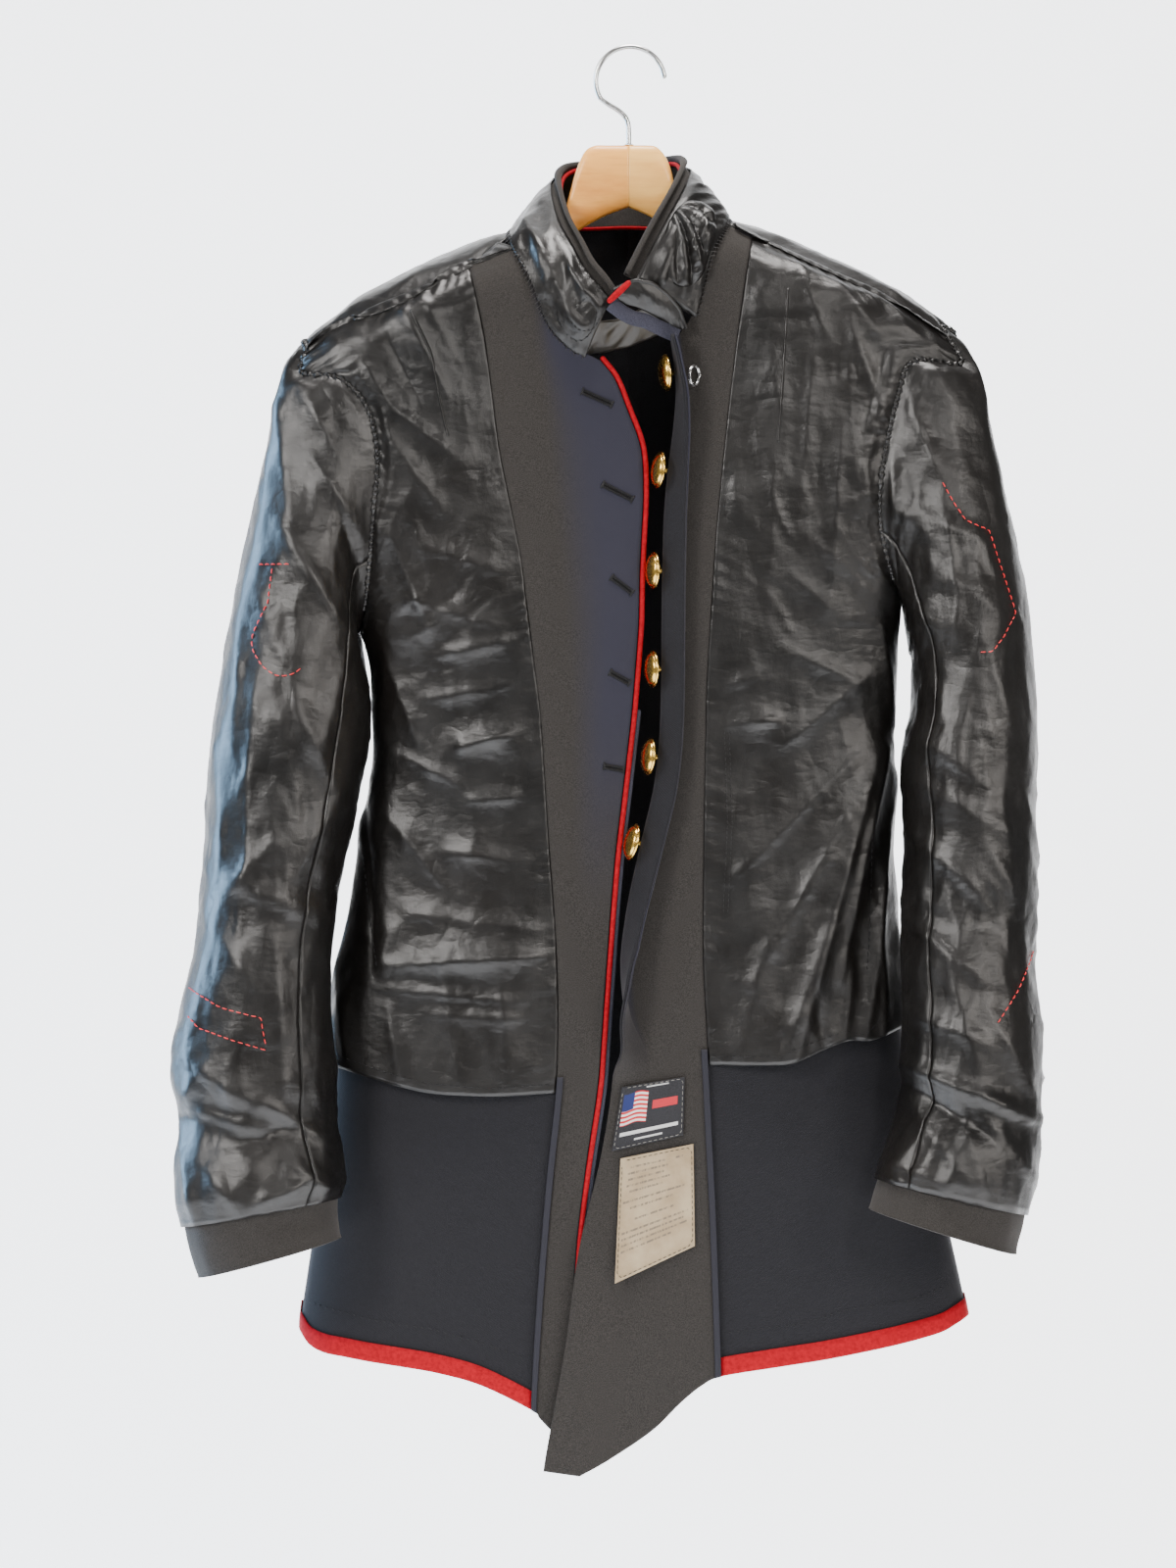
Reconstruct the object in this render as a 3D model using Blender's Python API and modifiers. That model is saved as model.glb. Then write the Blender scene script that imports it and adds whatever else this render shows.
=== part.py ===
"""A military dress coat, turned inside out and hung on a contoured wooden hanger.

Units are metres, +Z is up and the opening of the coat faces -Y. The origin is the inside
top of the hanger's hook, where a rail carries it. Tables hold real sizes in millimetres.
Cloth panels are grids of points (rows down the cloth, columns across it) on one coat
surface, and every layer that lies on a panel is made from that panel's points, moved out.
"""
import math

import bpy
import numpy as np
from mathutils import Matrix

MM = 0.001

# Cloth
WOOL_THICK = 1.4 * MM
SATIN_THICK = 1.1 * MM
TAPE_THICK = 1.0 * MM
SEAM_GAP = 0.3 * MM
LAYER_STEP = 1.9 * MM
TRIM_STEP = 3.5 * MM
SHOULDER_GAP = 2.4 * MM
ARMHOLE_GAP = 1.6 * MM
CUFF_INSET = 2.5 * MM
COLLAR_GAP = 2.2 * MM

# Shape of the hanging coat
SHOULDER_ROUND = 40 * MM
SECTION_POWER = 2.6
HANGER_BEND = 22 * MM
HALF_SHOULDER = 230 * MM
CENTRE_BACK = 0.0
OVERLAP_LIFT = 7 * MM
HEM_SWING = 6 * MM
COLLAR_BULGE = 3 * MM

# Front band beyond the button line, which curls towards the viewer
BAND_WIDTH = 25 * MM
BAND_ROLL = 4.5 * MM
BUTTON_ANGLE = 105.0

# Buttons and ring
BUTTON_RADIUS = 12.8 * MM
SHANK_RADIUS = 2.2 * MM
RING_RADIUS = 7.0 * MM
RING_WIRE = 0.9 * MM
PIPING_RADIUS = 1.8 * MM
HEM_TAPE_WIDTH = 13 * MM
SEAM_TAPE_WIDTH = 4.2 * MM
LABEL_CLEAR = 0.6 * MM

# Hanger
HOOK_WIRE = 1.75 * MM
HOOK_CENTRE = (1 * MM, -22.2 * MM)
HOOK_RADIUS = 23.9 * MM
ARM_TIP = 196 * MM

# Grid counts: armhole rows, rows to the lining hem, skirt rows, columns of each strip
ARMHOLE_ROWS = 8
WAIST_ROWS = 10
SKIRT_ROWS = 4
LINING_COLUMNS = 9
FACING_COLUMNS = 5
CURL_COLUMNS = 4
BACK_COLUMNS = 7
BACK_ROW_SHARES = (0.0, 0.06, 0.19, 0.39, 0.62, 0.84, 1.0)
CREST_STEP = 14 * MM
SLEEVE_ROWS = 22
CUFF_ROWS = 3

# Shoulder ridge seen from the front: x, z
RIDGE = ((-243, -238), (-239, -224), (-229, -213), (-212, -196), (-186, -178), (-152, -159),
         (-117, -143), (-80, -129), (-60, -106), (0, -90), (50, -101), (66, -120), (105, -135),
         (150, -155), (187, -174), (216, -196), (230, -204), (243, -230))

# Level sections of the body: z, left side x, right side x, front depth, back depth
SECTIONS = ((-100, -250, 246, 52, 50), (-212, -243, 238, 54, 54), (-300, -222, 220, 58, 58),
            (-385, -190, 187, 60, 62), (-403, -184, 183, 60, 62), (-430, -174, 181, 59, 61),
            (-497, -173, 177, 57, 60), (-545, -182, 179, 56, 59), (-612, -192, 182, 55, 58),
            (-646, -196, 184, 55, 58), (-733, -206, 197, 54, 59), (-800, -215, 217, 54, 61),
            (-880, -227, 235, 55, 63), (-1000, -232, 240, 55, 63))

# Front edge and seams of each side: z, x
LEFT_EDGE = ((-220, -20), (-226, -11), (-249, -2), (-280, 9), (-311, 10), (-362, 7), (-403, 6),
             (-456, 2), (-518, -5), (-570, -11), (-638, -16), (-711, -21), (-761, -27),
             (-800, -35), (-850, -38), (-968, -40))
RIGHT_EDGE = ((-204, 22), (-231, 32), (-268, 37), (-342, 38), (-472, 37), (-515, 32), (-570, 18),
              (-623, 4), (-673, -7), (-711, -10), (-750, -13), (-776, -22), (-808, -33),
              (-851, -36), (-884, -40), (-922, -49), (-959, -55), (-998, -61))
LEFT_SEAM = ((-154, -110), (-189, -101), (-225, -96), (-287, -88), (-349, -75), (-402, -68),
             (-468, -60), (-548, -55), (-614, -50), (-673, -48), (-723, -50), (-787, -57),
             (-862, -63), (-931, -67))
RIGHT_SEAM = ((-130, 84), (-164, 79), (-210, 73), (-270, 66), (-343, 59), (-437, 53), (-532, 51),
              (-626, 50), (-704, 54), (-801, 59), (-882, 62), (-917, 63))

# Armhole seam of each side, front view: z, x
LEFT_ARMHOLE = ((-208, -221), (-220, -206), (-234, -186), (-257, -175), (-278, -171),
                (-304, -173), (-338, -176), (-371, -179), (-403, -184))
RIGHT_ARMHOLE = ((-201, 219), (-203, 204), (-209, 188), (-235, 178), (-274, 173), (-300, 170),
                 (-321, 171), (-343, 173), (-385, 187))
BACK_ARMHOLE_SHARE = 0.8

# Curl of the right front band: z, degrees
CURL = ((-204, 96), (-231, 104), (-268, 124), (-310, 147), (-342, 160), (-472, 165), (-515, 160),
        (-570, 150), (-623, 125), (-650, 100), (-673, 72), (-695, 38), (-715, 4), (-725, 0))

# Hems: x, z
LEFT_LINING_HEM = ((-215, -700), (-205, -704), (-177, -713), (-144, -723), (-96, -726),
                   (-47, -723), (-20, -721))
RIGHT_LINING_HEM = ((-20, -704), (53, -704), (108, -704), (149, -687), (163, -689), (190, -676))
LEFT_HEM = ((-230, -882), (-219, -902), (-178, -909), (-135, -915), (-92, -927), (-69, -938),
            (-55, -954), (-38, -968))
RIGHT_HEM = ((-61, -998), (-28, -983), (11, -959), (45, -926), (64, -917), (100, -912),
             (140, -906), (181, -898), (215, -890), (240, -876))
BACK_HEM = ((-230, -882), (-150, -896), (-60, -902), (0, -903), (60, -902), (150, -894),
            (240, -876))
BACK_LINING_HEM = ((-230, -700), (-120, -712), (0, -716), (110, -708), (230, -676))

# Shoulder seam and neck, from the armhole in: x, z, face (1 front, -1 back)
LEFT_SHOULDER = ((-221, -212, 1), (-195, -194, 1), (-173, -187, 1), (-152, -178, 1),
                 (-110, -154, 1), (-79, -142, 1))
RIGHT_SHOULDER = ((219, -204, 1), (187, -183, 1), (150, -165, 1), (105, -144, 1),
                  (84, -133, 1), (65, -127, 1))
LEFT_NECK = ((-78, -143, 1), (-67, -163, 1), (-54, -193, 1), (-40, -209, 1), (-20, -220, 1))
RIGHT_NECK = ((64, -128, 1), (57, -142, 1), (50, -164, 1), (43, -189, 1), (33, -203, 1))
LEFT_BACK_NECK = ((-79, -142, 1), (-79, -130, 1), (-74, -125, -1), (-68, -123, -1),
                  (-55, -121, -1), (-30, -120, -1), (0, -119, -1))
RIGHT_BACK_NECK = ((65, -127, 1), (66, -121, -1), (61, -120, -1), (50, -120, -1),
                   (28, -120, -1), (0, -119, -1))

# Collar: base x, base z, face, then its top edge x, y, z
COLLAR = ((-29, -215, 1, -10, -68, -174), (-40, -209, 1, -16, -67, -165),
          (-54, -193, 1, -25, -62, -154), (-67, -163, 1, -33, -52, -140),
          (-78, -143, 1, -42, -34, -123), (-80, -132, 1, -47, -10, -104),
          (-76, -125, -1, -48, 12, -89), (-66, -122, -1, -43, 32, -81),
          (-48, -120, -1, -32, 45, -77), (-25, -119, -1, -16, 51, -75),
          (0, -118, -1, 1, 53, -74), (25, -119, -1, 17, 49, -74),
          (45, -120, -1, 29, 39, -74), (58, -120, -1, 35, 22, -76), (66, -121, 1, 37, -4, -83),
          (64, -128, 1, 33, -26, -95), (57, -142, 1, 26, -44, -110),
          (50, -164, 1, 13, -60, -133), (43, -189, 1, -2, -71, -163))

# Sleeve rings: outer x, outer z, inner x, inner z, middle y, half depth, share of armhole
LEFT_RINGS = ((-223, -207, -186, -403, -22, 48, 1.0), (-236, -216, -190, -405, -22, 50, 0.84),
              (-243, -237, -190, -408, -22, 52, 0.66), (-247, -265, -188, -413, -22, 54, 0.48),
              (-257, -313, -183, -428, -24, 56, 0.26), (-270, -375, -180, -452, -27, 57, 0.08),
              (-280, -435, -181, -485, -31, 57, 0), (-286, -500, -189, -525, -36, 56, 0),
              (-292, -560, -199, -572, -42, 54, 0), (-297, -620, -208, -622, -48, 51, 0),
              (-308, -672, -208, -668, -54, 48, 0), (-314, -705, -204, -703, -58, 46, 0),
              (-310, -740, -201, -738, -62, 44, 0), (-309, -780, -196, -772, -66, 42, 0),
              (-307, -814, -199, -794, -70, 41, 0), (-301, -838, -197, -812, -72, 41, 0),
              (-296, -849, -196, -821, -73, 41, 0))
RIGHT_RINGS = ((221, -202, 189, -385, -22, 48, 1.0), (234, -210, 192, -387, -22, 50, 0.84),
               (241, -228, 192, -390, -22, 52, 0.66), (246, -255, 192, -395, -22, 54, 0.48),
               (257, -300, 193, -408, -24, 58, 0.26), (268, -355, 196, -428, -27, 60, 0.08),
               (278, -405, 196, -460, -30, 59, 0), (279, -470, 187, -500, -35, 57, 0),
               (279, -530, 192, -545, -41, 54, 0), (280, -585, 188, -590, -48, 52, 0),
               (277, -625, 187, -628, -56, 50, 0), (280, -670, 189, -668, -62, 48, 0),
               (281, -710, 188, -708, -68, 46, 0), (281, -750, 181, -742, -76, 44, 0),
               (272, -805, 168, -780, -84, 42, 0), (268, -820, 164, -792, -86, 42, 0),
               (265, -832, 162, -800, -88, 42, 0))
LINING_END_RING = 14
SLEEVE_SEAM_COLUMNS = 3

# Creases that stand out of a sleeve or dip into it: z, half width, height, middle angle
LEFT_SLEEVE_CREASES = ((-742, 12, -5, 60), (-590, 16, -3, 90), (-470, 20, 3, 40),
                       (-660, 16, 3, 20), (-785, 14, 3, 100))
RIGHT_SLEEVE_CREASES = ((-728, 12, -4, 70), (-600, 14, -2, 120), (-480, 18, 2, 60),
                        (-430, 14, -2, 110), (-690, 16, 1.5, 40))

# Folds of the lining: start x, start z, end x, end z, half width, height
LEFT_FOLDS = ((-120, -488, -74, -474, 15, 4), (-150, -620, -60, -640, 18, 4),
              (-165, -250, -152, -340, 16, 4), (-150, -190, -128, -270, 14, 3),
              (-172, -480, -168, -640, 14, 4), (-110, -560, -66, -585, 16, 3))
RIGHT_FOLDS = ((162, -491, 112, -702, 20, 8), (150, -500, 70, -690, 15, 4),
               (66, -467, 104, -473, 14, 4), (165, -240, 150, -330, 15, 4),
               (100, -190, 96, -300, 14, 3), (92, -560, 70, -640, 15, 3))
BACK_FOLDS = ((-110, -230, -60, -420, 20, 4), (120, -240, 70, -400, 18, 4),
              (-140, -470, -60, -520, 18, 4), (150, -480, 50, -560, 18, 5),
              (-40, -560, -70, -700, 20, 4), (60, -590, 40, -700, 20, 4))
CENTRE_PLEAT = (9 * MM, 4 * MM)

# Buttons down the band: z
BUTTON_HEIGHTS = (-228, -297, -365, -432, -493, -553)
RING_PLACE = (42.5, -231)

# Labels on the right facing, four corners each: x, z (top left, top right, low right, low left)
WOVEN_LABEL = ((-5, -719), (38, -712), (37, -752), (-12, -763))
CARE_LABEL = ((-6, -768), (44, -758), (45, -828), (-10, -853))

# Hanger half: x, top z, bottom z, half thickness
LEFT_WOOD = ((0.2, -67, -110, 8), (14, -67, -115, 8), (24, -67.3, -120, 8), (31, -72, -124, 8),
             (37, -86, -128, 8), (42, -104, -131, 8), (46, -115, -134, 8), (60, -123, -142, 8.5))
RIGHT_WOOD = ((0.2, -67, -110, 8), (12, -67, -115, 8), (19, -68, -119, 8), (25, -74, -122, 8),
              (29, -83, -125, 8), (33, -98, -128, 8), (40, -106, -132, 8), (50, -115, -138, 8.5),
              (60, -121, -145, 8.5))
ARM_CLEAR = 0.9 * MM
NECK_CLEAR = 6 * MM
ARM_HEIGHT = 25 * MM
ARM_THICK = (9 * MM, 11 * MM)

COLLECTION_NAME = "Military_coat_on_hanger"


def clear_scene():
    for obj in list(bpy.data.objects):
        bpy.data.objects.remove(obj, do_unlink=True)


def make_collection():
    collection = bpy.data.collections.new(COLLECTION_NAME)
    bpy.context.scene.collection.children.link(collection)
    return collection


def material(name, colour, roughness, metallic=0.0):
    made = bpy.data.materials.new(name)
    made.use_nodes = True
    shader = made.node_tree.nodes["Principled BSDF"]
    shader.inputs["Base Color"].default_value = (*colour, 1.0)
    shader.inputs["Roughness"].default_value = roughness
    shader.inputs["Metallic"].default_value = metallic
    return made


def column(rows, index):
    return np.array([row[index] for row in rows], float)


def read(rows, at, key, value, reach=6 * MM):
    """Value of a table at the given places, softened over a short reach."""
    keys = column(rows, key) * MM
    values = column(rows, value) * MM
    order = np.argsort(keys)
    at = np.asarray(at, float)
    spots = [np.interp(at + shift * reach, keys[order], values[order]) for shift in (-1, 0, 1)]
    return (spots[0] + 2 * spots[1] + spots[2]) / 4


def step(value, low, high):
    """Smooth step from 0 at low to 1 at high."""
    share = np.clip((np.asarray(value, float) - low) / (high - low), 0, 1)
    return share * share * (3 - 2 * share)


def ridge(x):
    return read(RIDGE, x, 0, 1)


def drop_of(arc):
    """How far below the ridge a point lies that is this far along the cloth from it."""
    arc = np.abs(arc)
    quarter = SHOULDER_ROUND * math.pi / 2
    bend = SHOULDER_ROUND * (1 - np.cos(np.minimum(arc, quarter) / SHOULDER_ROUND))
    return bend + np.maximum(arc - quarter, 0)


def arc_of(drop):
    """Way along the cloth from the ridge to a point this far below it."""
    drop = np.maximum(drop, 0)
    bend = np.arccos(1 - np.minimum(drop, SHOULDER_ROUND) / SHOULDER_ROUND)
    return SHOULDER_ROUND * bend + np.maximum(drop - SHOULDER_ROUND, 0)


def section(z):
    left = read(SECTIONS, z, 0, 1)
    right = read(SECTIONS, z, 0, 2)
    return (left + right) / 2, (right - left) / 2, read(SECTIONS, z, 0, 3), read(SECTIONS, z, 0, 4)


def angle_of(x, z):
    """Angle round the level section: 0 at the right side, pi at the left side."""
    middle, half, _, _ = section(z)
    share = np.clip((x - middle) / half, -1, 1)
    return np.arccos(np.sign(share) * np.abs(share) ** (SECTION_POWER / 2))


def side_of(angle, z):
    middle, half, _, _ = section(z)
    cosine = np.cos(angle)
    return middle + half * np.sign(cosine) * np.abs(cosine) ** (2 / SECTION_POWER)


def coat_point(x, arc):
    """Point of the coat surface: x across, arc along the cloth from the ridge (+ is front)."""
    z = ridge(x) - drop_of(arc)
    middle, half, front, back = section(z)
    share = np.clip(np.abs(x - middle) / half, 0, 1)
    profile = (1 - share ** SECTION_POWER) ** (1 / SECTION_POWER)
    cap = np.sin(np.minimum(np.abs(arc) / SHOULDER_ROUND, math.pi / 2))
    depth = np.where(arc >= 0, -front, back)
    bend = HANGER_BEND * (x / HALF_SHOULDER) ** 2 * step(z, -650 * MM, -250 * MM)
    return np.stack([x, depth * profile * cap - bend, z], axis=-1)


def along(points, shares):
    """Points at the given shares of a path's length."""
    points = np.asarray(points, float)
    lengths = np.r_[0, np.cumsum(np.linalg.norm(np.diff(points, axis=0), axis=1))]
    at = np.asarray(shares) * lengths[-1]
    return np.stack([np.interp(at, lengths, points[:, k]) for k in range(points.shape[1])], axis=-1)


def line_points(rows):
    """Rows x, z, face of a seam as x and arc from the ridge."""
    x = column(rows, 0) * MM
    z = column(rows, 1) * MM
    return np.stack([x, column(rows, 2) * arc_of(ridge(x) - z)], axis=-1)


def armhole_x(side, z):
    return read(LEFT_ARMHOLE if side < 0 else RIGHT_ARMHOLE, z, 0, 1)


def outer_line(side, face):
    """The armhole above the underarm and the side seam below it, as x for each height."""
    rows = LEFT_ARMHOLE if side < 0 else RIGHT_ARMHOLE
    top, low = rows[0], rows[-1]

    def line(z):
        middle, half, _, _ = section(z)
        cut = armhole_x(side, z)
        if face < 0:
            chord = np.interp(-z, [-top[0] * MM, -low[0] * MM], [top[1] * MM, low[1] * MM])
            cut = chord + BACK_ARMHOLE_SHARE * (cut - chord)
        return np.where(z > low[0] * MM, cut, middle + side * half)

    return line


def table_line(rows):
    return lambda z: read(rows, z, 0, 1)


def table_hem(rows):
    return lambda x: read(rows, x, 0, 1)


def armhole_shares():
    """Row shares from shoulder to underarm, closer together at both ends."""
    even = np.linspace(0, 1, ARMHOLE_ROWS + 1)
    return (even + (1 - np.cos(math.pi * even)) / 2) / 2


def first_rows(start, end, face):
    """Arcs of the rows from the top to the underarm. The back has a row on the ridge."""
    if face > 0:
        return start + (end - start) * armhole_shares()[:, None]
    crest = np.where(start > 0, 0.0, start - CREST_STEP)
    rows = [start, (start + crest) / 2]
    return np.array(rows + [crest + (end - crest) * share for share in BACK_ROW_SHARES])


def lay_panel(tops, lines, counts, hems, face):
    """Grid of x and arc: columns run between the long lines, rows between the cross lines."""
    shares = np.concatenate([np.arange(n) / n + k for k, n in enumerate(counts)] + [[len(counts)]])
    strip = np.minimum(shares.astype(int), len(counts) - 1)
    part = shares - strip

    def column_x(z):
        angles = [angle_of(line(z), z) for line in lines]
        stacked = np.stack(angles)
        low = np.take_along_axis(stacked, strip[None] * np.ones_like(z, int)[None], 0)[0]
        high = np.take_along_axis(stacked, (strip[None] + 1) * np.ones_like(z, int)[None], 0)[0]
        return side_of(low + (high - low) * part, z)

    levels = []
    for hem in hems:
        x = tops[:, 0]
        for _ in range(12):
            x = column_x(hem(x))
        levels.append(hem(x))
    top_z = ridge(tops[:, 0]) - drop_of(tops[:, 1])
    stray = tops[:, 0] - column_x(top_z)
    arcs = [tops[:, 1]] + [face * arc_of(ridge(column_x(z)) - z) for z in levels]
    rows = list(first_rows(arcs[0], arcs[1], face))
    fades = [(1 - share) ** 2 for share in armhole_shares()]
    for band, count in enumerate((WAIST_ROWS, SKIRT_ROWS, 1), 1):
        for share in np.arange(1, count + 1) / count:
            rows.append(arcs[band] + (arcs[band + 1] - arcs[band]) * share)
            fades.append(0.0)
    grid_x = []
    for arc, fade in zip(rows, fades):
        x = tops[:, 0]
        for _ in range(8):
            z = ridge(x) - drop_of(arc)
            x = column_x(z) + stray * fade
        grid_x.append(x)
    return np.array(grid_x), np.array(rows)


def normals_of(points, inside):
    """Unit normals of a grid, pointing away from the inside point."""
    down = np.gradient(points, axis=0)
    across = np.gradient(points, axis=1)
    normal = np.cross(down, across)
    normal /= np.maximum(np.linalg.norm(normal, axis=-1, keepdims=True), 1e-12)
    away = points - np.asarray(inside)
    turn = np.sign(np.median(np.sum(normal * away, axis=-1)))
    return normal * turn


def underarm(side):
    return (LEFT_ARMHOLE if side < 0 else RIGHT_ARMHOLE)[-1][0] * MM


def front_panel(side):
    """Points and normals of one front, from the side seam to the front edge."""
    shoulder = line_points(LEFT_SHOULDER if side < 0 else RIGHT_SHOULDER)
    neck = line_points(LEFT_NECK if side < 0 else RIGHT_NECK)
    tops = np.concatenate([
        along(shoulder[:-1], np.arange(LINING_COLUMNS) / LINING_COLUMNS), shoulder[-2:-1], neck])
    tops[:, 1] += SHOULDER_GAP
    if side < 0:
        lines = (outer_line(side, 1), table_line(LEFT_SEAM), table_line(LEFT_EDGE))
        hems = (LEFT_LINING_HEM, LEFT_HEM)
    else:
        lines = (outer_line(side, 1), table_line(RIGHT_SEAM), fold_line)
        hems = (RIGHT_LINING_HEM, RIGHT_HEM)
    level = underarm(side)
    lining_hem, hem = (table_hem(rows) for rows in hems)
    crossings = (lambda x: np.full_like(x, level), lining_hem,
                 lambda x: hem(x) + HEM_TAPE_WIDTH, hem)
    x, arc = lay_panel(tops, lines, (LINING_COLUMNS, FACING_COLUMNS), crossings, 1)
    points = coat_point(x, arc)
    normals = normals_of(points, (0, 0.2, -0.55))
    normals[ARMHOLE_ROWS:, 0] = (side, 0, 0)
    if side > 0:
        low = step(-points[..., 2], 770 * MM, 850 * MM)
        near = step(-points[..., 0], -75 * MM, 5 * MM)
        points[..., 1] -= OVERLAP_LIFT * low * near
        points, normals = add_curl(points, normals)
    return points, normals


def curl_angle(z):
    return np.radians(np.interp(-z, -column(CURL, 0) * MM, column(CURL, 1)))


def fold_line(z):
    """The button line: the free edge lies one curled band away from it."""
    angle = curl_angle(z)
    flat = BAND_WIDTH - BAND_ROLL * angle
    return read(RIGHT_EDGE, z, 0, 1) + BAND_ROLL * np.sin(angle) + flat * np.cos(angle)


def band_point(place, sideways, outward, turned, flat):
    """Point past the fold: turned through an angle on the roll, then straight on."""
    turned = np.asarray(turned)[..., None]
    flat = np.asarray(flat)[..., None]
    roll = sideways * np.sin(turned) + outward * (1 - np.cos(turned))
    run = sideways * np.cos(turned) + outward * np.sin(turned)
    return place + BAND_ROLL * roll + flat * run


def fold_direction(fold, towards, outward):
    """Unit direction across the fold line, in the cloth, on the side it goes towards."""
    run = np.gradient(fold, axis=0)
    across = np.cross(run, outward)
    across *= np.sign(np.sum(across * towards, axis=-1, keepdims=True))
    return across / np.linalg.norm(across, axis=-1, keepdims=True)


def add_curl(points, normals):
    """Adds the band's columns: the roll in even turns, then its straight end."""
    last, before = points[:, -1], points[:, -2]
    outward = normals[:, -1]
    sideways = fold_direction(last, last - before, outward)
    angle = curl_angle(last[:, 2])
    new_points, new_normals = [points], [normals]
    for count in range(1, CURL_COLUMNS + 2):
        rolled = min(count / CURL_COLUMNS, 1.0)
        turned = angle * rolled
        width = BAND_WIDTH - BAND_ROLL * angle
        flat = width if count > CURL_COLUMNS else np.zeros_like(angle) + 0.4 * MM * rolled
        new_points.append(band_point(last, sideways, outward, turned, flat)[:, None])
        turned = turned[:, None]
        turned_normal = outward * np.cos(turned) - sideways * np.sin(turned)
        new_normals.append(turned_normal[:, None])
    return np.concatenate(new_points, axis=1), np.concatenate(new_normals, axis=1)


def back_panel(side):
    """Points and normals of one half of the back, from the side seam to the centre back."""
    shoulder = line_points(LEFT_SHOULDER if side < 0 else RIGHT_SHOULDER)
    neck = line_points(LEFT_BACK_NECK if side < 0 else RIGHT_BACK_NECK)
    path = np.concatenate([shoulder, neck[1:]])
    tops = along(path, np.arange(BACK_COLUMNS + 1) / BACK_COLUMNS)
    level = underarm(side)
    lining_hem, hem = table_hem(BACK_LINING_HEM), table_hem(BACK_HEM)
    crossings = (lambda x: np.full_like(x, level), lining_hem,
                 lambda x: hem(x) + HEM_TAPE_WIDTH, hem)
    lines = (outer_line(side, -1), lambda z: np.full_like(z, CENTRE_BACK))
    x, arc = lay_panel(tops, lines, (BACK_COLUMNS,), crossings, -1)
    points = coat_point(x, arc)
    normals = normals_of(points, (0, -0.2, -0.55))
    normals[ARMHOLE_ROWS:, 0] = (side, 0, 0)
    return points, normals


def moved(points, normals, distance):
    return points + normals * (np.asarray(distance)[..., None] if np.ndim(distance) else distance)


def parted(points, gap=SEAM_GAP / 2, ends=True, sides=True):
    """Draws a grid's borders in by half a seam's gap."""
    drawn = points.copy()
    pairs = [((0,), (1,)), ((-1,), (-2,))] if ends else []
    for edge, inner in pairs:
        away = points[inner] - points[edge]
        drawn[edge] += gap * away / np.linalg.norm(away, axis=-1, keepdims=True)
    pairs = [(0, 1), (-1, -2)] if sides else []
    for edge, inner in pairs:
        away = points[:, inner] - points[:, edge]
        drawn[:, edge] += gap * away / np.linalg.norm(away, axis=-1, keepdims=True)
    return drawn


def wall(name, points, thickness, look, closed=False):
    """Cloth wall of one thickness with the grid of points in its middle."""
    rows, columns = points.shape[:2]
    index = np.arange(rows * columns).reshape(rows, columns)
    if closed:
        index = np.concatenate([index, index[:, :1]], axis=1)
    a, b, c, d = index[:-1, :-1], index[1:, :-1], index[1:, 1:], index[:-1, 1:]
    faces = np.concatenate([np.stack([a, b, c], -1).reshape(-1, 3),
                            np.stack([a, c, d], -1).reshape(-1, 3)])
    mesh = bpy.data.meshes.new(name)
    mesh.from_pydata(points.reshape(-1, 3).tolist(), [], faces.tolist())
    mesh.shade_smooth()
    obj = place(name, mesh, look)
    solid = obj.modifiers.new("Cloth thickness", "SOLIDIFY")
    solid.thickness = thickness
    solid.offset = 0.0
    return obj


def place(name, data, look):
    obj = bpy.data.objects.new(name, data)
    collection.objects.link(obj)
    data.materials.append(look)
    return obj


def fold_height(points, folds):
    """Height of all folds at each point: a soft ridge along each line, fading at its ends."""
    height = np.zeros(points.shape[:2])
    flat = points[..., [0, 2]]
    for x0, z0, x1, z1, half_width, high in folds:
        start = np.array([x0, z0]) * MM
        run = np.array([x1, z1]) * MM - start
        share = np.clip(np.sum((flat - start) * run, -1) / np.dot(run, run), 0, 1)
        gap = np.linalg.norm(flat - start - share[..., None] * run, axis=-1)
        height += high * MM * np.exp(-(gap / (half_width * MM)) ** 2)
    return height


def lining_swing(points, rows):
    """How far the free hem of the lining stands off the skirt."""
    below = np.linspace(0, 1, rows)[:, None]
    columns = points.shape[1]
    across = np.linspace(0, 1, columns)[None]
    held = 1 - across ** 4
    wave = 0.75 + 0.25 * np.sin(9 * across + 1)
    return HEM_SWING * step(below, 0.72, 1.0) * held * wave


def make_front(side, looks):
    name = "left" if side < 0 else "right"
    points, normals = front_panel(side)
    wool = parted(points, ends=True)
    wall(f"front_shell_{name}", wool, WOOL_THICK, looks["wool"])
    layered = moved(points, normals, LAYER_STEP)
    seam = LINING_COLUMNS
    wall(f"front_facing_{name}", parted(layered[:, seam:]), WOOL_THICK, looks["facing"])
    rows = ARMHOLE_ROWS + WAIST_ROWS + 1
    folds = LEFT_FOLDS if side < 0 else RIGHT_FOLDS
    part = points[:rows, :seam + 1]
    held = np.ones(part.shape[:2])
    held[0] = 0
    held[:, 0] = 0
    held[:, -1] = 0
    rise = fold_height(part, folds) * held + lining_swing(part, rows)
    lining = moved(part, normals[:rows, :seam + 1], LAYER_STEP + rise)
    wall(f"front_lining_{name}", parted(lining), SATIN_THICK, looks["satin"])
    tape = moved(points[-2:, :seam + 1], normals[-2:, :seam + 1], LAYER_STEP - 0.3 * MM)
    wall(f"hem_tape_front_{name}", parted(tape), TAPE_THICK, looks["scarlet"])
    start = ARMHOLE_ROWS + WAIST_ROWS
    trim = moved(points[start:, seam:seam + 2], normals[start:, seam:seam + 2], TRIM_STEP)
    across = trim[:, 1] - trim[:, 0]
    across /= np.linalg.norm(across, axis=-1, keepdims=True)
    strip = np.stack([trim[:, 0], trim[:, 0] + SEAM_TAPE_WIDTH * across], axis=1)
    wall(f"seam_tape_{name}", parted(strip), TAPE_THICK, looks["seam_tape"])
    return points, normals


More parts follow.
